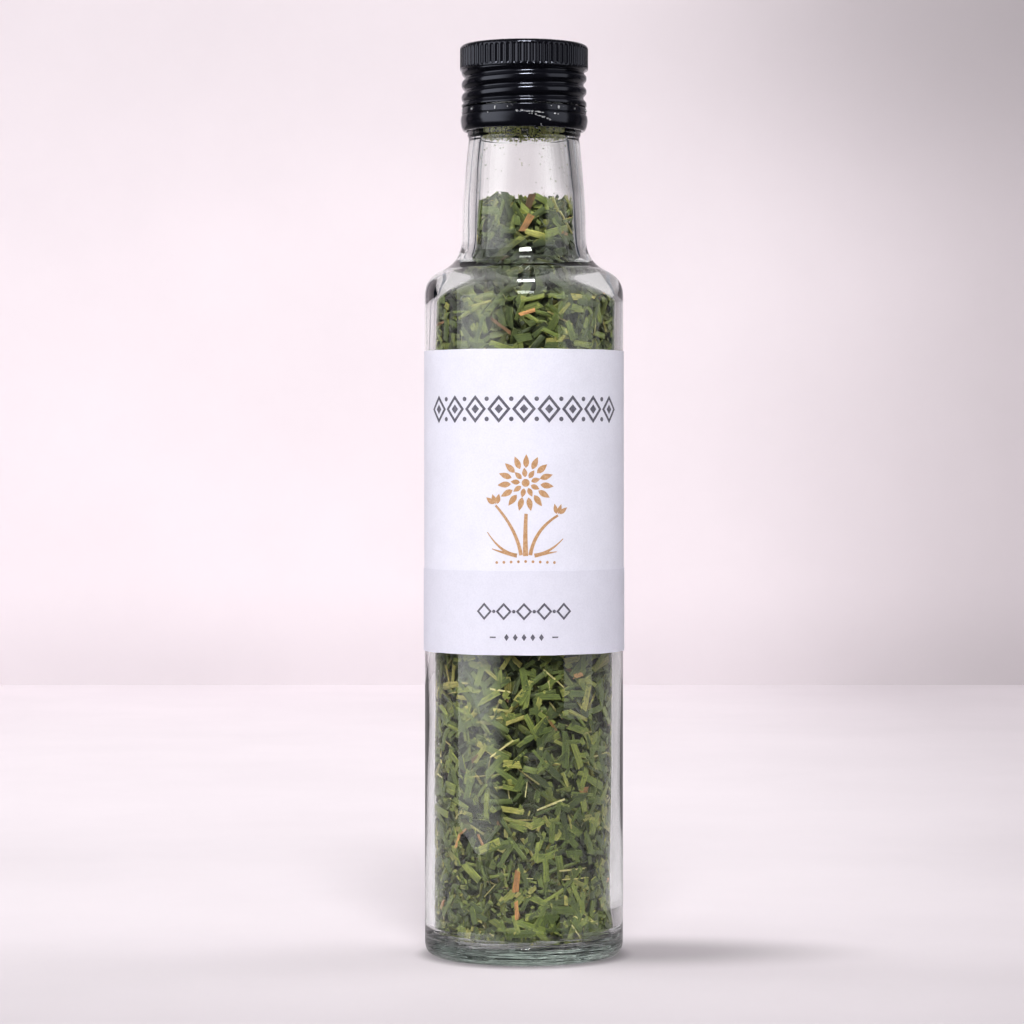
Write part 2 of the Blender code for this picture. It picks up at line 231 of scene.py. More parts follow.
class NodeSheet:
    """A small helper that adds and links the nodes of one material, light or world."""

    def __init__(self, owner: str | bpy.types.ID) -> None:
        """Start a Principled material, or open the nodes of what is given.

        Args:
            owner: Name of the new material, or the material, light or world to work on.
        """
        self.owner = bpy.data.materials.new(owner) if isinstance(owner, str) else owner
        self.owner.use_nodes = True
        self.tree = self.owner.node_tree
        self.shader = self.tree.nodes.get("Principled BSDF")

    def add(self, kind: str, **values: object) -> bpy.types.Node:
        """Add a node and set its properties or its inputs.

        Args:
            kind: Node type without its ShaderNode prefix.
            **values: Properties of the node, or input sockets with spaces written as underscores.

        Returns:
            The new node.
        """
        node = self.tree.nodes.new("ShaderNode" + kind)
        for key, value in values.items():
            if hasattr(node, key):
                setattr(node, key, value)
            else:
                node.inputs[key.replace("_", " ")].default_value = value
        return node

    def link(self, source: Socket, target: Socket) -> None:
        """Join two sockets."""
        self.tree.links.new(source, target)

    def coordinates(self) -> Socket:
        """Return the object's own coordinates."""
        return self.add("TexCoord").outputs["Object"]

    def split(self, vector: Socket) -> bpy.types.NodeOutputs:
        """Return the X, Y and Z sockets of a vector."""
        node = self.add("SeparateXYZ")
        self.link(vector, node.inputs[0])
        return node.outputs

    def noise(self, scale: float, detail: float, roughness: float = 0.5,
              vector: Socket | None = None) -> Socket:
        """Add a noise texture.

        Args:
            scale: Its scale.
            detail: Its octaves.
            roughness: How strong the finer octaves are.
            vector: What it follows, or None for the object's own coordinates.

        Returns:
            The value socket.
        """
        node = self.add("TexNoise", Scale=scale, Detail=detail, Roughness=roughness)
        self.link(self.coordinates() if vector is None else vector, node.inputs["Vector"])
        return node.outputs["Fac"]

    def rise(self, value: Socket, low: float, high: float, first: float = 0.0, last: float = 1.0,
             smooth: bool = False) -> Socket:
        """Go from one value to another between two bounds.

        Args:
            value: The socket that drives it.
            low: Where it starts to change.
            high: Where it stops.
            first: The value up to the start.
            last: The value from the stop on.
            smooth: Ease in and out.

        Returns:
            The result socket.
        """
        node = self.add("MapRange", From_Min=low, From_Max=high, To_Min=first, To_Max=last)
        node.interpolation_type = "SMOOTHSTEP" if smooth else "LINEAR"
        self.link(value, node.inputs["Value"])
        return node.outputs["Result"]

    def product(self, first: Socket, *others: object) -> Socket:
        """Multiply a socket by other sockets or numbers."""
        for other in others:
            first = self.math("MULTIPLY", first, other)
        return first

    def paint(self, colour: Socket) -> None:
        """Give the Principled shader its base colour."""
        self.link(colour, self.shader.inputs["Base Color"])

    def shade(self, factor: Socket) -> None:
        """Multiply the base colour by a grey factor."""
        before = self.shader.inputs["Base Color"].links[0].from_socket
        grey = self.add("CombineColor")
        for channel in grey.inputs:
            self.link(factor, channel)
        self.paint(self.mix(1.0, before, grey.outputs[0], "MULTIPLY"))

    def fix(self, **values: object) -> None:
        """Set constant inputs of the Principled shader, with spaces written as underscores."""
        for key, value in values.items():
            self.shader.inputs[key.replace("_", " ")].default_value = value

    def math(self, operation: str, first: object, second: object = 0.0) -> Socket:
        """Add a Math node.

        Args:
            operation: The node's operation.
            first: A socket or a number.
            second: A socket or a number.

        Returns:
            The result socket.
        """
        node = self.add("Math", operation=operation)
        for socket, value in zip(node.inputs, (first, second)):
            if isinstance(value, bpy.types.NodeSocket):
                self.link(value, socket)
            else:
                socket.default_value = value
        return node.outputs[0]

    def ramp(self, factor: Socket, stops: Sequence[tuple[float, Colour]]) -> Socket:
        """Add a colour ramp.

        Args:
            factor: The socket that drives it.
            stops: Position and linear colour of each stop.

        Returns:
            The colour socket.
        """
        node = self.add("ValToRGB")
        while len(node.color_ramp.elements) < len(stops):
            node.color_ramp.elements.new(0.5)
        for element, (position, colour) in zip(node.color_ramp.elements, stops):
            element.position = position
            element.color = (*colour, 1.0)
        self.link(factor, node.inputs[0])
        return node.outputs["Color"]

    def mix(self, factor: object, first: object, second: object, blend: str = "MIX") -> Socket:
        """Mix two colours.

        Args:
            factor: A socket or a number.
            first: A socket or a linear colour.
            second: A socket or a linear colour.
            blend: The blend mode.

        Returns:
            The colour socket.
        """
        node = self.add("Mix", data_type="RGBA", blend_type=blend)
        for socket, value in zip((node.inputs[0], node.inputs[6], node.inputs[7]), (factor, first, second)):
            if isinstance(value, bpy.types.NodeSocket):
                self.link(value, socket)
            elif isinstance(value, tuple):
                socket.default_value = (*value, 1.0)
            else:
                socket.default_value = value
        return node.outputs[2]

    def bump(self, height: Socket, strength: float, distance: float) -> None:
        """Roughen the surface.

        Args:
            height: The height socket.
            strength: Strength of the bump.
            distance: Height of the bump in metres.
        """
        node = self.add("Bump", Strength=strength, Distance=distance)
        self.link(height, node.inputs["Height"])
        self.link(node.outputs["Normal"], self.shader.inputs["Normal"])


@dataclass(frozen=True)
class GlassFinish:
    """Clear soda-lime glass, with a faint blue-green tint that shows where it is thick."""

    ior: float = 1.52
    tint: Colour = (0.20, 0.60, 0.36)
    density: float = 14.0
    ripple_scale: float = 55.0
    ripple_share: float = 0.10
    striae_scale: Triple = (45.0, 45.0, 1100.0)
    striae_heights: Pair = (5.5 * MM, 8.0 * MM)
    bump_height: float = 0.65 * MM

    def build(self) -> Material:
        """Return the material."""
        sheet = NodeSheet("clear_glass")
        sheet.fix(Transmission_Weight=1.0, Roughness=0.0, IOR=self.ior, Base_Color=(*WHITE, 1.0))
        ripple = sheet.noise(self.ripple_scale, 1.0)
        squash = sheet.add("Mapping", Scale=self.striae_scale)
        sheet.link(sheet.coordinates(), squash.inputs["Vector"])
        striae = sheet.noise(1.0, 2.0, 0.6, squash.outputs["Vector"])
        foot = sheet.rise(sheet.split(sheet.coordinates())["Z"], *self.striae_heights, 1.0, 0.0)
        waves = sheet.math("ADD", sheet.product(ripple, self.ripple_share), sheet.product(striae, foot))
        sheet.bump(waves, 1.0, self.bump_height)
        depth = sheet.add("VolumeAbsorption", Color=(*self.tint, 1.0), Density=self.density)
        sheet.link(depth.outputs[0], sheet.tree.nodes["Material Output"].inputs["Volume"])
        return sheet.owner


@dataclass(frozen=True)
class LacquerFinish:
    """Black gloss lacquer on thin aluminium, worn to bare metal where the slits have torn."""

    colour: Colour = (0.0035, 0.0035, 0.0055)
    metal: Colour = (0.78, 0.78, 0.80)
    gloss_tint: Colour = (0.80, 0.84, 1.0)
    worn_low: float = 207.35 * MM
    worn_high: float = 208.75 * MM
    worn_front: float = -2.0 * MM
    chip_level: float = 0.66
    patch_level: float = 0.64

    def build(self) -> Material:
        """Return the material."""
        sheet = NodeSheet("black_lacquer")
        spot = sheet.split(sheet.coordinates())
        above = sheet.math("GREATER_THAN", spot["Z"], self.worn_low)
        below = sheet.math("LESS_THAN", spot["Z"], self.worn_high)
        front = sheet.math("LESS_THAN", spot["Y"], self.worn_front)
        chip = sheet.math("GREATER_THAN", sheet.noise(1500.0, 3.0, 0.6), self.chip_level)
        patch = sheet.math("GREATER_THAN", sheet.noise(160.0, 1.0), self.patch_level)
        worn = sheet.product(chip, patch, above, below, front)
        sheet.paint(sheet.mix(worn, self.colour, self.metal))
        sheet.link(worn, sheet.shader.inputs["Metallic"])
        haze = sheet.noise(420.0, 2.0)
        sheet.link(sheet.rise(haze, 0.0, 1.0, 0.12, 0.20), sheet.shader.inputs["Roughness"])
        sheet.bump(haze, 0.10, 0.05 * MM)
        sheet.fix(Specular_IOR_Level=0.62, Specular_Tint=(*self.gloss_tint, 1.0))
        return sheet.owner


@dataclass(frozen=True)
class BareMetalFinish:
    """Bright torn aluminium."""

    def build(self) -> Material:
        """Return the material."""
        sheet = NodeSheet("bare_aluminium")
        grain = sheet.noise(2600.0, 2.0)
        sheet.paint(sheet.ramp(grain, ((0.3, (0.55, 0.55, 0.57)), (0.7, (0.92, 0.92, 0.94)))))
        sheet.fix(Metallic=0.85, Roughness=0.42)
        sheet.bump(grain, 0.3, 0.03 * MM)
        return sheet.owner


@dataclass(frozen=True)
class PaperFinish:
    """Smooth matt label paper with a fine tooth."""

    name: str
    colour: Colour
    mottle: float = 0.03

    def build(self) -> Material:
        """Return the material."""
        sheet = NodeSheet(self.name)
        fibre = sheet.noise(2400.0, 3.0, 0.65)
        darker = tuple(channel * (1.0 - 2.0 * self.mottle) for channel in self.colour)
        tone = sheet.ramp(sheet.noise(90.0, 4.0, 0.7), ((0.30, darker), (0.65, self.colour)))
        speck = sheet.ramp(fibre, ((0.25, (0.93, 0.93, 0.94)), (0.6, WHITE)))
        sheet.paint(sheet.mix(1.0, tone, speck, "MULTIPLY"))
        sheet.fix(Roughness=0.62, Specular_IOR_Level=0.35)
        sheet.bump(fibre, 0.25, 0.02 * MM)
        return sheet.owner


@dataclass(frozen=True)
class InkFinish:
    """Printed ink, a little uneven where the paper's tooth takes less of it."""

    name: str
    colour: Colour
    worn: Colour

    def build(self) -> Material:
        """Return the material."""
        sheet = NodeSheet(self.name)
        tooth = sheet.noise(1900.0, 3.0, 0.7)
        sheet.paint(sheet.ramp(tooth, ((0.42, self.colour), (0.75, self.worn))))
        sheet.fix(Roughness=0.5, Specular_IOR_Level=0.35)
        sheet.bump(tooth, 0.2, 0.015 * MM)
        return sheet.owner


@dataclass(frozen=True)
class FoamFinish:
    """Off-white closed-cell foam."""

    def build(self) -> Material:
        """Return the material."""
        sheet = NodeSheet("liner_foam")
        cells = sheet.add("TexVoronoi", Scale=1800.0)
        sheet.link(sheet.coordinates(), cells.inputs["Vector"])
        tones = ((0.0, (0.62, 0.62, 0.60)), (0.5, (0.80, 0.80, 0.78)))
        sheet.paint(sheet.ramp(cells.outputs["Distance"], tones))
        sheet.fix(Roughness=0.7)
        sheet.bump(cells.outputs["Distance"], 0.4, 0.05 * MM)
        return sheet.owner


@dataclass(frozen=True)
class LeafFinish:
    """Dry leaf, with its own tone for each flake and fine ribs along it, and painted shade that darkens
    deeper flakes and the flakes at the root of the neck.
    """

    name: str
    tones: tuple[tuple[float, Colour], ...]
    rib_scale: float = 9.0
    rib_tones: tuple[tuple[float, Colour], ...] = (
        (0.28, (0.36, 0.39, 0.34)), (0.5, WHITE), (0.74, (1.85, 1.68, 1.25)))
    edge_tones: tuple[tuple[float, Colour], ...] = (
        (0.0, (0.80, 0.82, 0.78)), (0.08, WHITE), (0.40, WHITE), (0.47, (1.5, 1.42, 1.2)))
    blotch_tones: tuple[tuple[float, Colour], ...] = ((0.35, (0.78, 0.80, 0.74)), (0.65, (1.12, 1.10, 1.06)))
    # Painted shade by how deep a flake lies behind the glass: flakes at the wall are lifted a little, deeper
    # ones darkened to under a fifth.
    painted_shade_tones: tuple[tuple[float, Colour], ...] = (
        (0.0, (1.15, 1.15, 1.15)), (0.25, (0.90, 0.90, 0.90)), (1.0, (0.18, 0.19, 0.16)))
    # Painted shadow of the thick shoulder glass on the flakes: full between the middle two heights, fading
    # out towards the outer two.
    shoulder_shadow_tone: Colour = (0.16, 0.19, 0.10)
    shoulder_shadow_heights: tuple[float, float, float, float] = (161.2 * MM, 164.0 * MM, 173.6 * MM, 176.8 * MM)
    ramp_height: float = 200.0 * MM

    def build(self) -> Material:
        """Return the material."""
        sheet = NodeSheet(self.name)
        base = sheet.ramp(sheet.add("NewGeometry").outputs["Random Per Island"], self.tones)
        where = sheet.add("UVMap").outputs["UV"]
        stretch = sheet.add("Mapping", Scale=(1.3, self.rib_scale, 1.0))
        sheet.link(where, stretch.inputs["Vector"])
        ribs = sheet.noise(1.0, 3.0, 0.6, stretch.outputs["Vector"])
        across = sheet.math("SUBTRACT", sheet.math("FRACT", sheet.split(where)["Y"]), 0.5)
        height = sheet.product(sheet.split(sheet.coordinates())["Z"], 1.0 / self.ramp_height)
        # Heights of the painted shoulder shadow, as shares of the ramp height.
        shoulder_shadow_spots = (spot / self.ramp_height for spot in self.shoulder_shadow_heights)
        shoulder_shadow_tones = zip(shoulder_shadow_spots, (WHITE, self.shoulder_shadow_tone, self.shoulder_shadow_tone, WHITE))
        layers = ((ribs, self.rib_tones), (sheet.math("ABSOLUTE", across), self.edge_tones),
                  (sheet.noise(900.0, 3.0, 0.7), self.blotch_tones),
                  # This layer carries the painted shade stored on each flake.
                  (sheet.add("Attribute", attribute_name="painted_shade").outputs["Fac"], self.painted_shade_tones),
                  (height, tuple(shoulder_shadow_tones)))
        for factor, tones in layers:
            base = sheet.mix(1.0, base, sheet.ramp(factor, tones), "MULTIPLY")
        sheet.paint(base)
        sheet.fix(Roughness=0.62, Specular_IOR_Level=0.4, Sheen_Weight=0.12, Sheen_Roughness=0.5)
        sheet.bump(ribs, 0.55, 0.12 * MM)
        return sheet.owner


# The glass


@dataclass
class GlassBottle:
    """The blown bottle: a thick base, a long straight body, a round shoulder and a screw finish."""

    body_radius: float = 24.4 * MM
    bearing_outer: float = 21.2 * MM
    bearing_inner: float = 18.6 * MM
    push_up_radius: float = 16.5 * MM
    push_up_height: float = 2.4 * MM
    heel_height: float = 3.6 * MM
    shoulder_start: float = 162.0 * MM
    shoulder_mid: Pair = (20.15 * MM, 168.3 * MM)
    neck_radius: float = 15.15 * MM
    neck_start: float = 177.2 * MM
    collar_radius: float = 13.9 * MM
    rim_height: float = 221.1 * MM
    body_inside: float = 22.1 * MM
    floor: float = 3.5 * MM
    floor_centre: float = 5.7 * MM
    thread_bottom: float = 208.7 * MM
    thread_top: float = 217.6 * MM
    thread_fade: float = 1.0 * MM
    thread_root: float = 13.95 * MM
    thread_depth: float = 0.6 * MM
    pitch: float = 3.2 * MM
    groove_height: float = 213.8 * MM
    bore: float = 10.3 * MM
    bore_top: float = 216.0 * MM
    inner_corner: float = 4.6 * MM
    inner_corner_radius: float = 17.5 * MM
    swells: tuple[tuple[int, float, float, float], ...] = (
        (3, 41.0, 0.6, 0.08), (5, -67.0, 0.0, 0.05), (2, 190.0, 0.0, 0.03))
    stipple_count: int = 132
    stipple_depth: float = 0.22 * MM
    columns: int = 264

    def outside(self) -> Profile:
        """Return the outer profile from the push-up to the collar."""
        heel_top = (self.body_radius, self.heel_height)
        shoulder_low = (self.body_radius, self.shoulder_start)
        profile = [(0.3 * MM, self.push_up_height)]
        profile += bezier(profile[0], (9.0 * MM, self.push_up_height), (13.0 * MM, 2.2 * MM),
                          (self.push_up_radius, 1.0 * MM), 14)
        profile += bezier(profile[-1], (17.6 * MM, 0.5 * MM), (17.9 * MM, 0.05 * MM),
                          (self.bearing_inner, 0.0), 6)
        profile += line(profile[-1], (self.bearing_outer, 0.0), 8)
        profile += bezier(profile[-1], (23.4 * MM, 0.0), (self.body_radius, 1.3 * MM), heel_top, 14)
        profile += line(heel_top, shoulder_low, 60)
        profile += bezier(shoulder_low, (self.body_radius, 165.2 * MM), (22.9 * MM, 167.1 * MM),
                          self.shoulder_mid, 18)
        profile += bezier(self.shoulder_mid, (17.0 * MM, 169.9 * MM), (15.2 * MM, 172.2 * MM),
                          (self.neck_radius, self.neck_start), 18)
        profile += bezier(profile[-1], (self.neck_radius, 184.5 * MM), (14.6 * MM, 190.5 * MM),
                          (13.62 * MM, 200.2 * MM), 26)
        return profile

    def finish_profile(self) -> Profile:
        """Return the collar, the locking ring, the thread zone and the rim."""
        corners = [(13.62 * MM, 200.2 * MM), (13.6 * MM, 200.8 * MM), (self.collar_radius, 201.3 * MM),
                   (self.collar_radius, 202.5 * MM), (13.7 * MM, 203.0 * MM), (13.7 * MM, 205.1 * MM),
                   (14.5 * MM, 205.7 * MM), (14.5 * MM, 206.8 * MM), (self.thread_root, 207.4 * MM),
                   (self.thread_root, self.thread_bottom)]
        rim = [(self.thread_root, self.thread_top), (self.thread_root, self.rim_height - 0.5 * MM),
               (13.3 * MM, self.rim_height), (11.0 * MM, self.rim_height),
               (self.bore, self.rim_height - 0.8 * MM), (self.bore, self.bore_top)]
        thread = line(corners[-1], rim[0], 66)[:-1]
        return rounded(corners, 0.35 * MM) + thread + rounded(rim, 0.45 * MM)

    def inside(self) -> Profile:
        """Return the inner profile from the bore down to the middle of the floor."""
        neck_mid = (12.2 * MM, 187.0 * MM)
        neck_low = (12.25 * MM, 178.0 * MM)
        shoulder_mid = (16.7 * MM, 167.3 * MM)
        body_top = (self.body_inside, 160.0 * MM)
        corner_top = (self.body_inside, self.floor + self.inner_corner)
        profile = line((self.bore, self.bore_top), (self.bore, 203.5 * MM), 10)
        profile += bezier(profile[-1], (10.6 * MM, 199.5 * MM), (11.8 * MM, 192.5 * MM), neck_mid, 18)
        profile += line(neck_mid, neck_low, 5)
        profile += bezier(neck_low, (12.2 * MM, 170.5 * MM), (13.3 * MM, 168.3 * MM), shoulder_mid, 16)
        profile += bezier(shoulder_mid, (20.1 * MM, 165.3 * MM), (self.body_inside, 163.6 * MM), body_top, 16)
        profile += line(body_top, corner_top, 56)
        profile += bezier(corner_top, (self.body_inside, self.floor + 2.4 * MM), (20.8 * MM, self.floor),
                          (self.inner_corner_radius, self.floor), 12)
        profile += line(profile[-1], (0.3 * MM, self.floor_centre), 10)
        return profile

    def unevenness(self, angle: Array, height: Array) -> Array:
        """Return how far the blown inner wall stands out from its true profile.

        Args:
            angle: Angles round the axis.
            height: Heights above the table.

        Returns:
            Lengths, negative where the glass is thicker.
        """
        swell = sum(np.sin(lobes * angle + height * climb + phase) * depth
                    for lobes, climb, phase, depth in self.swells)
        low_wall = 1 - smoothstep(30 * MM, 110 * MM, height)
        thicker = low_wall * (0.22 + 0.34 * np.cos(angle))
        fade = smoothstep(7 * MM, 13 * MM, height) * (1 - smoothstep(186 * MM, 198 * MM, height))
        return (swell - thicker) * fade * MM

    def wall_radius(self, height: Array) -> Array:
        """Return the radius of the inner wall at each height.

        Args:
            height: Heights above the table.

        Returns:
            Radii, growing from 0 at the floor.
        """
        wall = np.array(self.inside())[::-1]
        order = np.argsort(wall[:, 1], kind="stable")
        radius = np.interp(height, wall[order, 1], wall[order, 0])
        slack = 0.1 * MM
        corner_top = self.floor + self.inner_corner
        corner = wall[(wall[:, 0] > self.inner_corner_radius - slack) & (wall[:, 1] < corner_top + slack)]
        near_floor = np.interp(height, corner[:, 1], corner[:, 0])
        return np.where(height < corner_top, near_floor, radius)

    def thread_wave(self, angle: Array, height: Array) -> Array:
        """Return 1 in the thread's groove and 0 on its crest."""
        turns = (height - self.groove_height) / self.pitch - angle / TAU
        return 0.5 + 0.5 * np.cos(TAU * turns)

    def warp(self, angle: Array, radius: Array, height: Array) -> tuple[Array, Array]:
        """Cut the thread, stipple the bearing ring and make the walls a little uneven."""
        ends = np.minimum(height - self.thread_bottom, self.thread_top - height)
        fade = np.clip(ends / self.thread_fade, 0, 1)
        outer_finish = radius > 13.0 * MM
        radius = radius + self.thread_depth * (1 - self.thread_wave(angle, height)) * fade * outer_finish
        inner = np.arange(len(radius))[:, None] >= len(radius) - len(self.inside())
        radius = radius + np.where(inner, self.unevenness(angle, height), 0.0)
        bearing = smoothstep(self.bearing_inner - 0.4 * MM, self.bearing_inner + 0.5 * MM, radius)
        bearing *= 1 - smoothstep(22.2 * MM, 23.3 * MM, radius)
        bearing *= height < 1.2 * MM
        dent = 0.5 - 0.5 * np.cos(angle * self.stipple_count)
        height = height + bearing * dent * self.stipple_depth
        return radius, height

    def build(self, finish: Material) -> bpy.types.Object:
        """Make the bottle.

        Args:
            finish: The glass material.

        Returns:
            The bottle.
        """
        profile = self.outside() + self.finish_profile()[1:] + self.inside()
        mesh = turned("glass", profile, self.columns, self.warp)
        bottle = place("glass", mesh, finish, Body.BOTTLE, ("glass_bottle",))
        bottle.visible_shadow = False
        return bottle


# The cap


@dataclass
class ScrewCap:
    """The cap's fluted crown and rolled skirt, its liner and the band below it."""

    top: float = 223.7 * MM
    bottom: float = 208.4 * MM
    crown_radius: float = 15.72 * MM
    crown_bottom: float = 217.4 * MM
    crest_radius: float = 15.35 * MM
    groove_depth: float = 0.74 * MM
    wall: float = 0.25 * MM
    flute_count: int = 66
    flute_low: float = 217.75 * MM
    flute_high: float = 222.65 * MM
    flute_half_width: float = 0.42 * MM
    flute_depth: float = 0.30 * MM
    inner_crown: float = 15.2 * MM
    groove_power: float = 1.7
    groove_fade: float = 1.1 * MM
    columns: int = 528
    band_top: float = 208.1 * MM
    band_low: float = 202.45 * MM
    band_columns: int = 264
    glass: GlassBottle = field(default_factory=GlassBottle)

    def crown(self) -> Profile:
        """Return the outer profile from the middle of the top to the foot of the crown."""
        top, side, foot = self.top, self.crown_radius, self.crown_bottom
        dished = top - 0.10 * MM
        profile = [(0.3 * MM, dished)]
        profile += line(profile[0], (12.2 * MM, dished), 6)
        profile += bezier(profile[-1], (12.9 * MM, dished), (12.9 * MM, top), (13.6 * MM, top), 6)
        profile += bezier(profile[-1], (15.0 * MM, top), (side, top - 0.35 * MM), (side, top - 1.25 * MM), 10)
        profile += line(profile[-1], (side, foot + 0.35 * MM), 26)
        profile += bezier(profile[-1], (side, foot), (side, foot), (self.crest_radius, foot - 0.05 * MM), 5)
        return profile

    def skirt(self) -> Profile:
        """Return the outer profile of the skirt, from the crown's foot to the slit line."""
        start = (self.crest_radius, self.crown_bottom - 0.05 * MM)
        end = (self.crest_radius, self.bottom + 0.12 * MM)
        return line(start, end, 72) + [(self.crest_radius - 0.05 * MM, self.bottom + 0.03 * MM),
                                       (self.crest_radius - 0.12 * MM, self.bottom)]

    def underside(self) -> Profile:
        """Return the inner profile from the slit line to the middle of the crown."""
        inner, wide, foot = self.crest_radius - self.wall, self.inner_crown, self.crown_bottom
        under = self.top - 0.55 * MM
        profile = [(inner, self.bottom + 0.02 * MM)]
        profile += line(profile[0], (inner, foot), 48)
        profile += bezier(profile[-1], (inner, foot + 0.3 * MM), (wide, foot + 0.3 * MM),
                          (wide, foot + 0.7 * MM), 4)
        profile += line(profile[-1], (wide, under - 0.8 * MM), 6)
        profile += bezier(profile[-1], (wide, under), (14.9 * MM, under), (14.2 * MM, under), 6)
        profile += line(profile[-1], (0.3 * MM, under), 6)
        return profile

    def warp(self, angle: Array, radius: Array, height: Array) -> tuple[Array, Array]:
        """Roll the skirt into the thread and press the flutes into the crown."""
        glass = self.glass
        ends = np.minimum(height - glass.thread_bottom, glass.thread_top - height)
        fade = smoothstep(0.0, self.groove_fade, ends)
        wave = glass.thread_wave(angle, height) ** self.groove_power
        skirt = height < self.crown_bottom + 0.01 * MM
        outer = np.arange(len(radius))[:, None] < len(radius) - len(self.underside())
        depth = np.where(outer, self.groove_depth, glass.thread_depth)
        radius = radius - np.where(skirt, depth * wave * fade, 0.0)
        pitch = TAU / self.flute_count
        arc = (np.mod(angle + pitch / 2, pitch) - pitch / 2) * self.crown_radius
        low, high = self.flute_low + self.flute_half_width, self.flute_high - self.flute_half_width
        past = height - np.clip(height, low, high)
        distance = np.hypot(arc, past) - self.flute_half_width
        pressed = 1 - smoothstep(-0.20 * MM, 0.10 * MM, distance)
        on_crown = outer & (radius > 15.5 * MM) & ~skirt
        radius = radius - np.where(on_crown, self.flute_depth * pressed, 0.0)
        return radius, height

    def build_shell(self, finish: Material) -> bpy.types.Object:
        """Make the shell that turns.

        Args:
            finish: The lacquer.

        Returns:
            The shell.
        """
        profile = self.crown() + self.skirt() + self.underside()
        mesh = turned("cap_lacquer", profile, self.columns, self.warp)
        return place("cap_lacquer", mesh, finish, Body.CAP, ("cap_shell",))

    def dress_liner(self, finish: Material) -> None:
        """Give the sealing disc its foam.

        Args:
            finish: The foam material.
        """
        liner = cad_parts["cap_liner"]
        for material_slot in liner.material_slots:
            material_slot.material = finish

    def band_profile(self) -> Profile:
        """Return the closed profile of the band that stays on the neck."""
        top, low, side = self.band_top, self.band_low, 15.30 * MM
        step = top - 1.75 * MM
        outer = [(15.05 * MM, top)]
        outer += bezier(outer[0], (15.22 * MM, top), (15.28 * MM, top - 0.1 * MM), (side, top - 0.35 * MM), 4)
        outer += line(outer[-1], (side, step + 0.22 * MM), 5)
        outer += bezier(outer[-1], (side, step + 0.05 * MM), (15.12 * MM, step + 0.1 * MM),
                        (15.10 * MM, step), 4)
        outer += bezier(outer[-1], (15.12 * MM, step - 0.12 * MM), (15.45 * MM, step - 0.02 * MM),
                        (15.48 * MM, step - 0.35 * MM), 5)
        outer += bezier(outer[-1], (15.60 * MM, step - 1.0 * MM), (15.62 * MM, step - 1.5 * MM),
                        (15.5 * MM, step - 2.1 * MM), 8)
        outer += bezier(outer[-1], (15.42 * MM, top - 4.5 * MM), (15.2 * MM, low), (14.5 * MM, low), 10)
        curl = 14.1 * MM
        inner = bezier(outer[-1], (14.15 * MM, low), (curl, low + 0.15 * MM), (curl, low + 0.5 * MM), 5)
        inner += bezier(inner[-1], (14.6 * MM, low + 0.6 * MM), (15.0 * MM, low + 1.1 * MM),
                        (15.2 * MM, top - 3.0 * MM), 6)
        inner += bezier(inner[-1], (15.2 * MM, top - 1.6 * MM), (14.9 * MM, top - 0.8 * MM),
                        (14.9 * MM, top), 6)
        return outer + inner

    def band_warp(self, angle: Array, radius: Array, height: Array) -> tuple[Array, Array]:
        """Dent the band a little, as rolling tools and fingers leave it."""
        dent = np.sin(2 * angle + 0.7) * 0.05 + np.sin(5 * angle + 2.1) * 0.03 + np.sin(11 * angle) * 0.012
        middle = np.exp(-(((height - 204.9 * MM) / (1.5 * MM)) ** 2))
        return radius + dent * middle * MM, height

    def build_band(self, finish: Material) -> bpy.types.Object:
        """Make the tamper band.

        Args:
            finish: The lacquer.

        Returns:
            The band.
        """
        mesh = turned("tamper_band", self.band_profile(), self.band_columns, self.band_warp, closed_ring=True)
        return place("tamper_band", mesh, finish, Body.BOTTLE, ("tamper_ring",))


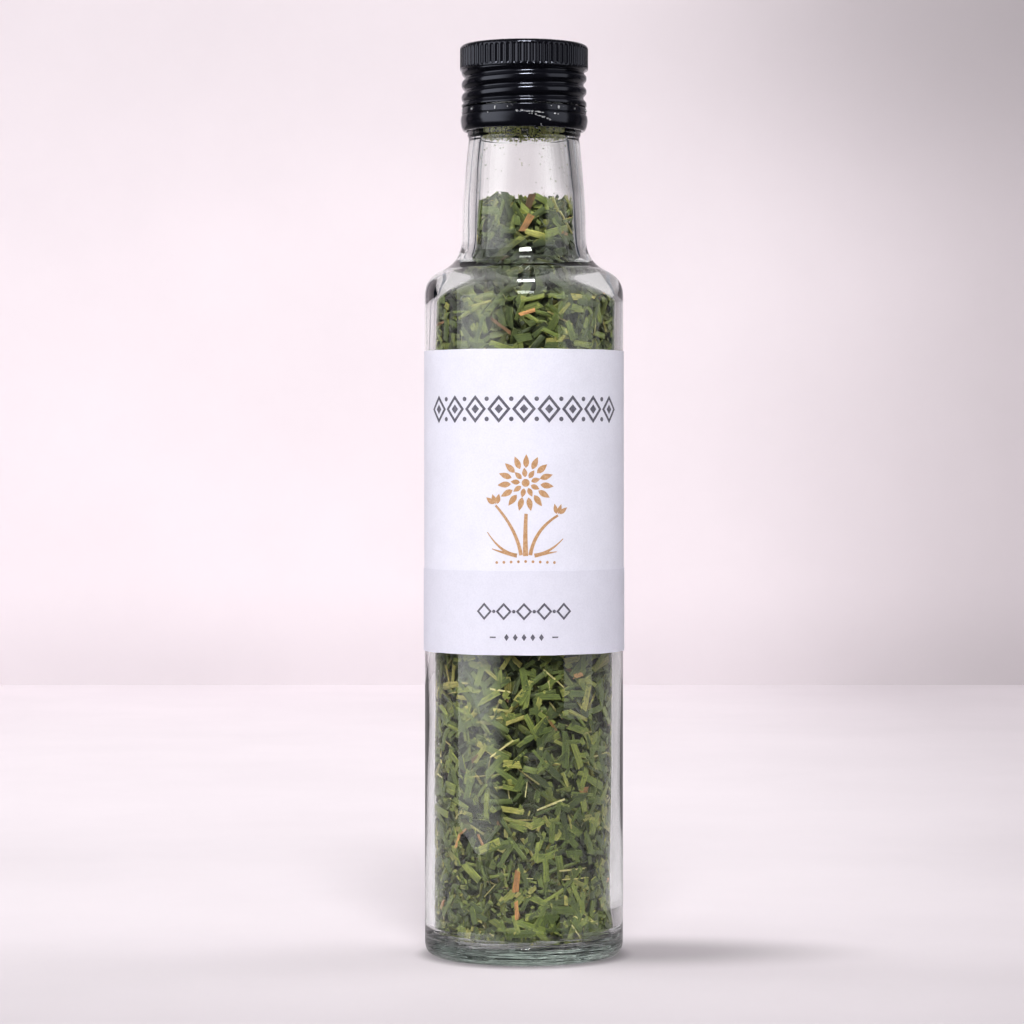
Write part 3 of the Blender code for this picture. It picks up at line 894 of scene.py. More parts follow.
@dataclass
class TornMetal:
    """Bare aluminium where the bridges between cap and band have broken."""

    radius: float = 15.32 * MM
    bridge_height: float = 207.2 * MM
    bridge_count: int = 14
    front_chips: tuple[tuple[float, float, float, float], ...] = (
        (-0.47, 207.1, 0.30, 0.75), (-0.26, 207.2, 0.18, 0.45), (0.44, 207.5, 0.35, 0.25),
        (0.57, 207.2, 0.55, 0.85), (0.50, 205.6, 0.70, 0.45), (0.56, 205.55, 0.45, 0.20),
        (0.27, 202.95, 0.22, 0.45), (-0.60, 206.0, 0.5, 0.12))
    tears: tuple[tuple[Pair, Pair, int, float], ...] = (
        ((-0.14, 0.16), (206.15, 206.0), 9, 0.20), ((0.12, 0.30), (205.95, 205.85), 5, 0.32),
        ((0.08, 0.20), (205.45, 205.30), 4, 0.22), ((0.18, 0.40), (205.2, 204.2), 7, 0.24),
        ((0.30, 0.42), (204.5, 204.35), 3, 0.16))
    thickness: float = 0.30 * MM
    front_angle: float = 0.7
    seed: int = 5

    def chip(self, draw: np.random.Generator, angle: float, height: float, width: float,
             tall: float) -> Array:
        """Return the ragged outline of one chip on the band.

        Args:
            draw: Source of random values.
            angle: Angle of the chip's middle.
            height: Height of its middle.
            width: Its width along the band.
            tall: Its height.

        Returns:
            Points as arc length from the front and height.
        """
        turns = np.linspace(0, TAU, 9, endpoint=False)
        reach = draw.uniform(0.55, 1.15, len(turns))
        return np.stack([angle * self.radius + np.cos(turns) * reach * width / 2,
                         height + np.sin(turns) * reach * tall / 2], axis=-1)

    def outlines(self) -> list[Outline]:
        """Return every chip's outline."""
        draw = np.random.default_rng(self.seed)
        chips = []
        for index in range(self.bridge_count):
            angle = TAU * (index + draw.uniform(-0.2, 0.2)) / self.bridge_count - math.pi
            if abs(angle) > self.front_angle:
                chips.append(self.chip(draw, angle, self.bridge_height, 0.35 * MM, 0.5 * MM))
        for angle, height, width, tall in self.front_chips:
            chips.append(self.chip(draw, angle, height * MM, width * MM, tall * MM))
        for (first, last), (high, low), count, tall in self.tears:
            for share in np.linspace(0, 1, count):
                angle = first + (last - first) * share + draw.normal(0, 0.012)
                height = (high + (low - high) * share + draw.normal(0, 0.10)) * MM
                width = (last - first) * self.radius / count * draw.uniform(0.7, 1.6)
                chips.append(self.chip(draw, angle, height, width, tall * draw.uniform(0.5, 1.7) * MM))
        return [[(float(u), float(v)) for u, v in chip] for chip in chips]

    def build(self, finish: Material) -> bpy.types.Object:
        """Make the chips.

        Args:
            finish: Bare metal.

        Returns:
            The chips, as one piece on the band.
        """
        mesh = bent_sheet("torn_metal", self.outlines(), self.radius, self.thickness)
        return place("torn_metal", mesh, finish, Body.BOTTLE)


# Paper and print


def bent_sheet(name: str, outlines: Sequence[Outline], radius: float, thickness: float,
               cut: float = 1.0 * MM) -> bpy.types.Mesh:
    """Bend flat outlines round the bottle as thin solids.

    Args:
        name: Name of the mesh.
        outlines: Closed outlines, as arc length to the right of the front and height.
        radius: Radius of the side that faces the bottle.
        thickness: How thick the solids are.
        cut: Spacing of the upright cuts that let a wide shape bend.

    Returns:
        The mesh.
    """
    bm = bmesh.new()
    for outline in outlines:
        bm.faces.new([bm.verts.new((u, v, 0.0)) for u, v in outline])
    wide = [vertex.co.x for vertex in bm.verts]
    first, last = math.floor(min(wide) / cut), math.ceil(max(wide) / cut)
    for step in range(first, last + 1):
        everything = bm.verts[:] + bm.edges[:] + bm.faces[:]
        bmesh.ops.bisect_plane(bm, geom=everything, plane_co=(step * cut, 0, 0), plane_no=(1, 0, 0),
                               dist=1e-7)
    bmesh.ops.recalc_face_normals(bm, faces=bm.faces)
    front = bmesh.ops.extrude_face_region(bm, geom=bm.faces[:])
    raised = {item for item in front["geom"] if isinstance(item, bmesh.types.BMVert)}
    for vertex in bm.verts:
        r = radius + (thickness if vertex in raised else 0.0)
        angle = vertex.co.x / radius
        vertex.co = Vector((r * math.sin(angle), -r * math.cos(angle), vertex.co.y))
    bmesh.ops.recalc_face_normals(bm, faces=bm.faces)
    mesh = bpy.data.meshes.new(name)
    bm.to_mesh(mesh)
    bm.free()
    return mesh


def disc(centre: Pair, radius: float, points: int = 20) -> Outline:
    """Return a round outline."""
    turns = np.linspace(0, TAU, points, endpoint=False)
    return [(centre[0] + radius * math.cos(t), centre[1] + radius * math.sin(t)) for t in turns]


def petal(root: Pair, direction: float, length: float, width: float, points: int = 7) -> Outline:
    """Return a leaf-shaped outline.

    Args:
        root: Its base.
        direction: Angle that it points along, from the right, counterclockwise.
        length: Its length.
        width: Its greatest width.
        points: How many points each side has.

    Returns:
        The outline.
    """
    share = np.linspace(0.0, 1.0, points)
    half = width / 2 * np.sin(math.pi * share ** 0.8)
    side = [(length * s, h) for s, h in zip(share, half)]
    back = [(length * s, -h) for s, h in zip(share[-2:0:-1], half[-2:0:-1])]
    c, s = math.cos(direction), math.sin(direction)
    return [(root[0] + c * x - s * y, root[1] + s * x + c * y) for x, y in side + back]


def ribbon(start: Pair, pull: Pair, end: Pair, wide: float,
           narrow: float, points: int = 12) -> Outline:
    """Return a curved strip that tapers.

    Args:
        start: Middle of its wide end.
        pull: The point that bends it.
        end: Middle of its narrow end.
        wide: Width at the start.
        narrow: Width at the end.
        points: How many points each side has.

    Returns:
        The outline.
    """
    left, right = [], []
    for step in range(points):
        t = step / (points - 1)
        x, y = ((1 - t) ** 2 * a + 2 * (1 - t) * t * b + t * t * c for a, b, c in zip(start, pull, end))
        dx, dy = (2 * (1 - t) * (b - a) + 2 * t * (c - b) for a, b, c in zip(start, pull, end))
        size = math.hypot(dx, dy)
        half = (wide + (narrow - wide) * t) / 2
        left.append((x - dy / size * half, y + dx / size * half))
        right.append((x + dy / size * half, y - dx / size * half))
    return left + right[::-1]


def lozenge_frame(centre: Pair, wide: float, tall: float, stroke: float) -> list[Outline]:
    """Return the four bars of a lozenge drawn in outline.

    Args:
        centre: Its middle.
        wide: Its width.
        tall: Its height.
        stroke: Share of its size that the bars take up.

    Returns:
        Four outlines that meet at the corners.
    """
    outer = [(wide / 2, 0.0), (0.0, tall / 2), (-wide / 2, 0.0), (0.0, -tall / 2)]
    inner = [(x * (1 - stroke), y * (1 - stroke)) for x, y in outer]
    bars = []
    for i in range(4):
        j = (i + 1) % 4
        corners = (outer[i], outer[j], inner[j], inner[i])
        bars.append([(centre[0] + x, centre[1] + y) for x, y in corners])
    return bars


@dataclass
class Label:
    """The wrap label, the strip stuck over its foot, and a plain ornament printed on them."""

    radius: float = 24.43 * MM
    paper: float = 0.10 * MM
    low: float = 75.1 * MM
    high: float = 148.5 * MM
    strip_high: float = 95.3 * MM
    strip_radius: float = 24.55 * MM
    strip_paper: float = 0.12 * MM
    label_seam: float = 4.0 * MM
    strip_seam: float = 9.0 * MM
    ink: float = 0.025 * MM
    ink_gap: float = 0.035 * MM
    lift: float = 0.02 * MM
    columns: int = 200
    rows: int = 40

    def band(self, name: str, radius: float, paper: float, low: float, high: float,
             seam: float) -> bpy.types.Mesh:
        """Wrap a paper band round the bottle.

        Args:
            name: Name of the mesh.
            radius: Radius of its back.
            paper: Its thickness.
            low: Height of its lower edge.
            high: Height of its upper edge.
            seam: Width left open at the back.

        Returns:
            The mesh.
        """
        half = seam / 2 / radius
        angles = np.linspace(-math.pi + half, math.pi - half, self.columns)
        heights = np.linspace(low, high, self.rows)
        angle, height = np.meshgrid(angles, heights, indexing="ij")
        edge = np.sin(angle * 9) * 0.03 * MM + np.sin(angle * 23 + 1) * 0.015 * MM
        height = height + edge * (height - (low + high) / 2) / (high - low) * 2
        wave = (np.sin(angle * 4 + height * 120) + np.sin(angle * 7 - height * 90)) * 0.5
        layers = []
        for r in (radius, radius + paper):
            reach = r + (wave + 1.0) * self.lift
            points = np.stack([reach * np.sin(angle), -reach * np.cos(angle), height], axis=-1)
            layers.append(points.reshape(-1, 3))
        count = self.columns * self.rows
        grid = np.arange(count).reshape(self.columns, self.rows)
        back = np.stack([grid[:-1, :-1], grid[:-1, 1:], grid[1:, 1:], grid[1:, :-1]], axis=-1).reshape(-1, 4)
        faces = back.tolist() + (back[:, ::-1] + count).tolist()
        rim = list(grid[:, 0]) + list(grid[-1, 1:]) + list(grid[-2::-1, -1]) + list(grid[0, -2:0:-1])
        for here, there in zip(rim, rim[1:] + rim[:1]):
            faces.append((int(here), int(there), int(there) + count, int(here) + count))
        mesh = bpy.data.meshes.new(name)
        mesh.from_pydata(np.vstack(layers).tolist(), [], faces)
        face_outward(mesh)
        mesh.shade_smooth()
        mesh.set_sharp_from_angle(angle=math.radians(40))
        return mesh

    def frieze(self) -> list[Outline]:
        """Return the dark border of lozenges across the upper label."""
        middle, count, wide, tall = 134.1 * MM, 9, 6.1 * MM, 6.7 * MM
        shapes: list[Outline] = []
        for index in range(count):
            u = (index - (count - 1) / 2) * wide
            shapes += lozenge_frame((u, middle), wide * 0.94, tall, 0.30)
            shapes.append(lozenge_solid((u, middle), wide * 0.34, tall * 0.34))
        for index in range(count - 1):
            u = (index - (count - 2) / 2) * wide
            for side in (-1, 1):
                shapes.append(disc((u, middle + side * tall * 0.36), 0.55 * MM, 14))
        return shapes

    def blossom(self) -> list[Outline]:
        """Return the tan spray: a round flower, two buds, stems and long thin leaves."""
        shapes: list[Outline] = []
        heart = (0.4 * MM, 116.4 * MM)
        shapes.append(disc(heart, 0.95 * MM))
        for count, inner, length, width in ((9, 1.35, 2.3, 1.25), (15, 3.55, 3.3, 1.45)):
            for index in range(count):
                turn = TAU * index / count + 0.2 * inner
                root = (heart[0] + inner * MM * math.cos(turn), heart[1] + inner * MM * math.sin(turn))
                shapes.append(petal(root, turn, length * MM, width * MM))
        foot = (0.4 * MM, 98.9 * MM)
        shapes.append(ribbon(foot, (0.2 * MM, 104.0 * MM), (0.5 * MM, 109.0 * MM), 1.25 * MM, 0.8 * MM))
        for side, tip_u, tip_z, bud in ((-1, 7.3, 111.0, 1.5), (1, 7.9, 108.6, 1.3)):
            start = (foot[0] + side * 1.1 * MM, foot[1] + 0.2 * MM)
            end = (foot[0] + side * tip_u * MM, tip_z * MM)
            shapes.append(ribbon(start, (foot[0] + side * 2.2 * MM, 105.5 * MM), end, 0.9 * MM, 0.55 * MM))
            for lean in (-0.55, 0.0, 0.55):
                root = (end[0] + lean * 0.7 * MM, end[1] + 0.35 * MM)
                shapes.append(petal(root, math.pi / 2 - lean - side * 0.35, 2.5 * MM, bud * MM * 0.8))
        for side, reach, rise in ((-1, 9.4, 104.6), (1, 9.2, 103.0), (-1, 8.2, 100.6), (1, 7.6, 99.9)):
            start = (foot[0] + side * 2.1 * MM, foot[1] + 0.1 * MM)
            end = (foot[0] + side * reach * MM, rise * MM)
            shapes.append(ribbon(start, (foot[0] + side * reach * 0.62 * MM, foot[1] + 0.6 * MM), end,
                                 1.0 * MM, 0.18 * MM))
        for index in range(9):
            u = (index - 4) * 1.75 * MM + foot[0]
            shapes.append(disc((u, 97.6 * MM - abs(index - 4) * 0.07 * MM), 0.34 * MM, 12))
        return shapes

    def strip_ornament(self) -> list[Outline]:
        """Return the small dark ornament on the strip: a row of lozenges over a dotted row."""
        shapes: list[Outline] = []
        upper, lower, step = 85.6 * MM, 79.4 * MM, 4.9 * MM
        for index in range(5):
            u = (index - 2) * step
            shapes += lozenge_frame((u, upper), 3.9 * MM, 4.2 * MM, 0.34)
            if index < 4:
                shapes.append(disc((u + step / 2, upper), 0.42 * MM, 12))
        for index in range(5):
            shapes.append(lozenge_solid(((index - 2) * 2.1 * MM, lower), 1.15 * MM, 1.7 * MM))
        half, tall = 0.75 * MM, 0.16 * MM
        for side in (-1, 1):
            u = side * 7.6 * MM
            shapes.append([(u - half, lower - tall), (u + half, lower - tall), (u + half, lower + tall),
                           (u - half, lower + tall)])
        return shapes

    def build(self, paper: Material, strip: Material, grey: Material,
              tan: Material) -> None:
        """Make both papers and the print.

        Args:
            paper: The label's paper.
            strip: The strip's paper.
            grey: The dark ink.
            tan: The tan ink.
        """
        label = self.band("label_paper", self.radius, self.paper, self.low, self.high, self.label_seam)
        place("label_paper", label, paper, Body.BOTTLE, ("label",))
        over = self.band("strip_paper", self.strip_radius, self.strip_paper, self.low, self.strip_high,
                         self.strip_seam)
        place("strip_paper", over, strip, Body.BOTTLE, ("label_strip",))
        face = self.radius + self.paper + self.ink_gap
        strip_face = self.strip_radius + self.strip_paper + self.ink_gap
        border = bent_sheet("frieze_print", self.frieze(), face, self.ink)
        place("frieze_print", border, grey, Body.BOTTLE)
        flower = bent_sheet("blossom_print", self.blossom(), face, self.ink)
        place("blossom_print", flower, tan, Body.BOTTLE)
        small = bent_sheet("strip_print", self.strip_ornament(), strip_face, self.ink)
        place("strip_print", small, grey, Body.BOTTLE)


def lozenge_solid(centre: Pair, wide: float, tall: float) -> Outline:
    """Return a filled lozenge."""
    return [(centre[0] + wide / 2, centre[1]), (centre[0], centre[1] + tall / 2),
            (centre[0] - wide / 2, centre[1]), (centre[0], centre[1] - tall / 2)]


# The chives


@dataclass(frozen=True)
class FlakeKind:
    """One sort of flake: how big it is, how it curls and how many there are."""

    name: str
    length: Pair
    width: Pair
    curl: Pair
    thickness: float
    share: float


class Sort(Enum):
    """The sorts of flake that the bottle holds."""

    STRIP = FlakeKind("chive_strips", (3.2, 7.2), (0.9, 1.9), (-0.5, 1.2), 0.22, 0.54)
    ROLLED = FlakeKind("chive_rolled", (3.2, 6.6), (0.8, 1.4), (1.6, 3.2), 0.20, 0.21)
    CHIP = FlakeKind("chive_chips", (1.2, 2.8), (0.7, 1.5), (-0.6, 0.8), 0.20, 0.20)
    STRAW = FlakeKind("chive_straw", (3.0, 8.0), (0.22, 0.46), (0.4, 1.5), 0.18, 0.036)
    BROWN = FlakeKind("chive_brown", (1.6, 4.0), (0.4, 0.9), (0.3, 1.6), 0.20, 0.012)


BIT_CURL, BIT_THICKNESS = (0.5, 0.9), 0.26
CRUMB = FlakeKind("chive_crumbs", (0.5, 1.4), (0.35, 0.9), (-0.5, 1.0), 0.20, 0.0)
SPECK = FlakeKind("neck_specks", (0.14, 0.34), (0.12, 0.26), (-0.3, 0.3), 0.05, 0.0)
RING_DUST = FlakeKind("ring_dust", (0.2, 0.6), (0.2, 0.45), (-0.3, 0.3), 0.05, 0.0)


@dataclass
class ChiveFill:
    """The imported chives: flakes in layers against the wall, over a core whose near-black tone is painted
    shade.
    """

    glass: GlassBottle
    low: float = 3.85 * MM
    top: float = 185.7 * MM
    clearance: float = 0.26 * MM
    flake_area: float = 5.6 * MM * MM
    layer_depths: tuple[Pair, ...] = ((0.10, 0.55), (0.5, 1.5), (1.4, 2.8))
    layer_cover: tuple[float, ...] = (0.50, 0.85, 0.90)
    hidden_low: float = 79.0 * MM
    hidden_high: float = 144.5 * MM
    along: int = 5
    across: int = 5
    core_inset: float = 3.0 * MM
    # Depth behind the glass at which the painted shade of a flake is darkest.
    painted_shade_depth: float = 2.4 * MM
    ring_dust: int = 1000
    ring_heights: Pair = (201.0 * MM, 203.8 * MM)
    # Depths taken for the painted shade of the crumbs and of the flakes dropped on the heap.
    crumb_painted_shade: float = 0.3 * MM
    heap_painted_shade: float = 0.4 * MM
    sunk_share: float = 0.55
    speck_flatness: float = 0.25
    # Each bit: angle from the front, height, length and width in mm, turn in the wall's plane, and its
    # painted shade as a share of the darkest depth.
    bits: tuple[tuple[float, float, float, float, float, float], ...] = (
        (0.12, 184.6, 3.4, 1.6, 1.25, 0.95), (0.05, 179.2, 4.6, 1.5, 1.05, 0.62),
        (-0.08, 20.6, 5.2, 1.4, 1.45, 0.0), (-0.08, 13.6, 4.4, 0.8, 1.6, 0.1),
        (0.70, 42.2, 2.5, 1.3, 0.0, 0.0), (-0.55, 50.0, 2.4, 0.8, 0.7, 0.2),
        (0.62, 70.0, 2.6, 1.0, 0.2, 0.3), (0.30, 58.5, 4.0, 0.6, 2.2, 0.4),
        (-0.25, 154.0, 6.0, 0.7, 2.5, 0.3))
    top_flakes: int = 420
    dust: int = 2300
    neck_specks: int = 46
    seed: int = 21

    def flake_points(self, draw: np.random.Generator, kind: FlakeKind, count: int) -> tuple[Array, Array]:
        """Shape flakes about the origin, with X along, Y across and Z out.

        Args:
            draw: Source of random values.
            kind: The sort of flake.
            count: How many to shape.

        Returns:
            The points, as flake, side, along, across and axis, and the length of each flake.
        """
        u = np.linspace(-0.5, 0.5, self.along)[None, :, None]
        v = np.linspace(-0.5, 0.5, self.across)[None, None, :]

        def value(low: float, high: float) -> Array:
            """Return one random value for each flake."""
            return draw.uniform(low, high, (count, 1, 1))

        length, width = value(*kind.length) * MM, value(*kind.width) * MM
        taper = 1.0 - value(0.0, 0.35) ** 1.6 * 1.6 * u * np.sign(value(-1, 1))
        width_here = width * np.clip(taper, 0.5, 1.35)
        arc = value(*kind.curl)
        bend = value(-0.6, 0.6)
        slant = value(-0.55, 0.55) * width
        other_slant = value(-0.55, 0.55) * width
        share = u + 0.5
        x = u * length + v * (slant * (1 - share) + other_slant * share)
        x = x + draw.normal(0, 0.05 * MM, (count, self.along, self.across)) * (np.abs(u) > 0.49)
        safe = np.where(np.abs(arc) < 0.05, 0.05, arc)
        y = np.sin(v * safe) / safe * width_here
        z = (np.cos(v * safe) - 1) / safe * width_here
        y = y + draw.normal(0, 0.02 * MM, (count, self.along, self.across)) * (np.abs(v) > 0.49)
        z = z + bend * length * (0.25 - u * u) * 0.32
        z = z + draw.normal(0, 0.015 * MM, (count, self.along, self.across))
        twist = value(-0.45, 0.45) * u
        y, z = y * np.cos(twist) - z * np.sin(twist), y * np.sin(twist) + z * np.cos(twist)
        half = kind.thickness * MM / 2
        thin = half * (1 - 0.5 * (np.abs(v) > 0.49)) * np.ones_like(x)
        front = np.stack([x, y, z + thin], axis=-1)
        back = np.stack([x, y, z - thin], axis=-1)
        return np.stack([front, back], axis=1), length.reshape(-1)

    def flake_faces(self) -> Array:
        """Return the quads of one flake."""
        a, b = self.along, self.across
        grid = np.arange(a * b).reshape(a, b)
        front = np.stack([grid[:-1, :-1], grid[1:, :-1], grid[1:, 1:], grid[:-1, 1:]], axis=-1).reshape(-1, 4)
        back = front[:, ::-1] + a * b
        rim = np.concatenate([grid[:, 0], grid[-1, 1:], grid[-2::-1, -1], grid[0, -2:0:-1]])
        after = np.roll(rim, -1)
        side = np.stack([rim, rim + a * b, after + a * b, after], axis=-1)
        return np.concatenate([front, back, side])

    def seats(self, draw: np.random.Generator) -> tuple[Array, Array, Array]:
        """Scatter seats over the wall, evenly for its area.

        Args:
            draw: Source of random values.

        Returns:
            Angle, height and depth behind the wall of each seat.
        """
        heights = np.linspace(self.low, self.top - 1.2 * MM, 900)
        radii = self.glass.wall_radius(heights)
        step = np.hypot(np.gradient(heights), np.gradient(radii))
        area = TAU * radii * step
        angle, height, depth = [], [], []
        for cover, (near, far) in zip(self.layer_cover, self.layer_depths):
            count = int(cover * area.sum() / self.flake_area)
            z = draw.choice(heights, count, p=area / area.sum()) + draw.normal(0, 0.3 * MM, count)
            shown = (z < self.hidden_low) | (z > self.hidden_high) | (near < 0.2)
            z = z[shown]
            angle.append(draw.uniform(0, TAU, len(z)))
            height.append(z)
            depth.append(draw.uniform(near, far, len(z)) * MM)
        return np.concatenate(angle), np.concatenate(height), np.concatenate(depth)

    def lay(self, draw: np.random.Generator, points: Array, angle: Array, height: Array,
            depth: Array, tilt: float, turn: Array | None = None) -> Array:
        """Lay shaped flakes on their seats and press them behind the glass.

        Args:
            draw: Source of random values.
            points: Flakes about the origin.
            angle: Angle of each seat.
            height: Height of each seat.
            depth: Depth of each seat behind the wall.
            tilt: How far flakes lean out of the wall's plane, in radians.
            turn: How far each flake is turned in the wall's plane, or None for any turn.

        Returns:
            The points in place.
        """
        count = len(angle)
        turn = draw.uniform(-math.pi, math.pi, count) if turn is None else turn
        lean = draw.normal(0, tilt, count) * np.clip(depth / (0.8 * MM), 0.35, 1.6)
        roll = draw.normal(0, tilt * 1.4, count) * np.clip(depth / (0.8 * MM), 0.35, 1.6)
        x, y, z = (points[..., axis] for axis in range(3))

        def shaped(values: Array) -> Array:
            """Make one value for each flake fit the points."""
            return values.reshape(-1, 1, 1, 1)

        def rotated(first: Array, second: Array, by: Array) -> tuple[Array, Array]:
            """Turn two of the axes towards each other by one angle for each flake."""
            c, s = np.cos(shaped(by)), np.sin(shaped(by))
            return first * c - second * s, first * s + second * c

        y, z = rotated(y, z, roll)
        x, z = rotated(x, z, lean)
        across, upward = rotated(x, y, turn)
        radius = self.glass.wall_radius(height) - depth
        x, y = rotated(shaped(radius) + z, across, angle)
        return self.press(np.stack([x, y, shaped(height) + upward], axis=-1))

    def press(self, placed: Array) -> Array:
        """Keep every point behind the glass and above the floor.

        Args:
            placed: Flake points, as flake, side, along, across and axis.

        Returns:
            The points, pushed in where they would cross the wall.
        """
        inset = np.array([0.0, 0.2 * MM]).reshape(1, 2, 1, 1)
        floor = self.low + 0.15 * MM + inset
        height = np.maximum(placed[..., 2], floor)
        radius = np.hypot(placed[..., 0], placed[..., 1])
        angle = np.arctan2(placed[..., 1], placed[..., 0])
        wall = self.glass.wall_radius(height) + self.glass.unevenness(angle, height)
        limit = wall - self.clearance - inset
        scale = np.minimum(1.0, limit / np.maximum(radius, 1e-6))
        return np.stack([placed[..., 0] * scale, placed[..., 1] * scale, height], axis=-1)

    def mesh(self, name: str, points: Array, depth: Array) -> bpy.types.Mesh:
        """Turn flake points into one mesh.

        Args:
            name: Name of the mesh.
            points: Flakes, as flake, side, along, across and axis.
            depth: How deep each flake is taken to lie behind the glass, which sets its painted shade.

        Returns:
            The mesh, with a UV map that runs along and across each flake, and each flake's painted shade as a
            point attribute.
        """
        count = points.shape[0]
        each = 2 * self.along * self.across
        quads = self.flake_faces()
        faces = (quads[None] + (np.arange(count) * each)[:, None, None]).reshape(-1, 4)
        made = bpy.data.meshes.new(name)
        made.from_pydata(points.reshape(-1, 3).tolist(), [], faces.tolist())
        u, v = np.meshgrid(np.linspace(0, 1, self.along), np.linspace(0, 1, self.across), indexing="ij")
        flat = np.tile(np.stack([u, v], axis=-1).reshape(-1, 2), (2, 1))
        shift = np.random.default_rng(self.seed + 1).integers(0, 200, (count, 1, 2))
        every = (flat[None] * 0.98 + 0.01 + shift).reshape(-1, 2)
        layer = made.uv_layers.new(name="UVMap")
        layer.data.foreach_set("uv", every[faces.reshape(-1)].astype(np.float32).reshape(-1))
        # Each flake's painted shade, from how deep it is taken to lie behind the glass.
        shade = made.attributes.new("painted_shade", "FLOAT", "POINT")
        painted_shade_amount = np.clip(depth / self.painted_shade_depth, 0.0, 1.0)
        shade.data.foreach_set("value", np.repeat(painted_shade_amount, each).astype(np.float32))
        made.shade_smooth()
        made.set_sharp_from_angle(angle=math.radians(55))
        return made

    def heap_seats(self, draw: np.random.Generator, count: int) -> Array:
        """Scatter places over the uneven top of the fill.

        Args:
            draw: Source of random values.
            count: How many places.

        Returns:
            Places as X, Y and Z.
        """
        radius = np.sqrt(draw.uniform(0, 1, count)) * 10.6 * MM
        angle = draw.uniform(0, TAU, count)
        x, y = radius * np.cos(angle), radius * np.sin(angle)
        bumps = 0.9 * MM * np.sin(x * 420 + 0.8) * np.cos(y * 380) - x * 0.06
        z = self.top - 1.6 * MM + bumps + draw.uniform(-1.4, 0.5, count) * MM
        return np.stack([x, y, z], axis=-1)

    def heap(self, draw: np.random.Generator, kind: FlakeKind, count: int) -> Array:
        """Drop flakes on the top of the fill at any tilt.

        Args:
            draw: Source of random values.
            kind: The sort of flake.
            count: How many.

        Returns:
            The points in place.
        """
        points, _ = self.flake_points(draw, kind, count)
        axis = draw.normal(0, 1, (count, 3)) * np.array([1.0, 1.0, 0.35])
        axis /= np.linalg.norm(axis, axis=1, keepdims=True)
        helper = draw.normal(0, 1, (count, 3)) * np.array([0.5, 0.5, 1.0])
        normal = np.cross(axis, np.cross(helper, axis))
        normal /= np.linalg.norm(normal, axis=1, keepdims=True)
        side = np.cross(normal, axis)
        basis = np.stack([axis, side, normal], axis=1)
        turned_points = np.einsum("csabk,ckj->csabj", points, basis)
        places = self.heap_seats(draw, count)
        return self.press(turned_points + places[:, None, None, None, :])

    def build_core(self, finish: Material) -> bpy.types.Object:
        """Make the packed middle, whose near-black tone is painted shade.

        Args:
            finish: Its material.

        Returns:
            The core.
        """
        heights = np.concatenate([np.linspace(self.low + 1.2 * MM, 160 * MM, 90),
                                  np.linspace(160.8 * MM, 184.2 * MM, 34)])
        radii = np.maximum(self.glass.wall_radius(heights) - self.core_inset, 2 * MM)
        profile = [(0.3 * MM, self.glass.floor_centre + 0.5 * MM)]
        profile += [(float(r), float(z)) for r, z in zip(radii, heights)]
        profile.append((0.3 * MM, float(heights[-1])))

        def rough(angle: Array, radius: Array, height: Array) -> tuple[Array, Array]:
            """Break up the surface."""
            lump = np.sin(angle * 31 + height * 2100) * np.sin(angle * 17 - height * 1700)
            return radius + np.where(radius > 3 * MM, lump * 0.35 * MM, 0.0), height

        mesh = turned("chive_core", profile, 160, rough)
        return place("chive_core", mesh, finish, Body.BOTTLE, ("chive_fill",))

    def picked_bits(self, draw: np.random.Generator) -> Array:
        """Lay the few brown and orange bits that stand out against the glass.

        Args:
            draw: Source of random values.

        Returns:
            The points in place.
        """
        laid = []
        for turn, height, length, width, tilt, _ in self.bits:
            kind = FlakeKind("bit", (length, length), (width, width), BIT_CURL, BIT_THICKNESS, 0.0)
            points, _ = self.flake_points(draw, kind, 1)
            seat = (np.array([turn - math.pi / 2]), np.array([height * MM]), np.array([0.06 * MM]))
            laid.append(self.lay(draw, points, *seat, tilt=0.02, turn=np.array([tilt])))
        return np.concatenate(laid)

    def build_dust(self, draw: np.random.Generator, finish: Material, pale: Material) -> None:
        """Make the crumbs near the floor, the specks on the neck and the ring of dust high in the bore.

        Args:
            draw: Source of random values.
            finish: The leaf material.
            pale: The material of the ring of dust, lightened as painted light against the shade under the
                cap.
        """
        crumbs, _ = self.flake_points(draw, CRUMB, self.dust)
        sunk = draw.uniform(0, 1, self.dust) < self.sunk_share
        fallen = self.low + np.abs(draw.normal(0, 16 * MM, self.dust))
        height = np.where(sunk, fallen, draw.uniform(self.low, self.top - 2 * MM, self.dust))
        laid = self.lay(draw, crumbs, draw.uniform(0, TAU, self.dust), height,
                        draw.uniform(0.12, 1.1, self.dust) * MM, 0.5)
        specks, _ = self.flake_points(draw, SPECK, self.neck_specks)
        specks[..., 2] *= self.speck_flatness
        high = draw.uniform(self.top + 1 * MM, 199 * MM, self.neck_specks)
        stuck = self.lay(draw, specks, draw.uniform(0, TAU, self.neck_specks), high,
                         np.full(self.neck_specks, 0.05 * MM), 0.05)
        ring, _ = self.flake_points(draw, RING_DUST, self.ring_dust)
        ring[..., 2] *= self.speck_flatness
        ringed = self.lay(draw, ring, draw.uniform(0, TAU, self.ring_dust),
                          draw.uniform(*self.ring_heights, self.ring_dust),
                          draw.uniform(0.03, 0.2, self.ring_dust) * MM, 0.05)
        # With no painted shade depth, the ring of dust also takes the painted lift of flakes at the wall.
        mesh = self.mesh("neck_dust", ringed, np.zeros(len(ringed)))
        place("neck_dust", mesh, pale, Body.BOTTLE)
        every = np.concatenate([laid, stuck])
        mesh = self.mesh("chive_crumbs", every, np.full(len(every), self.crumb_painted_shade))
        place("chive_crumbs", mesh, finish, Body.BOTTLE)

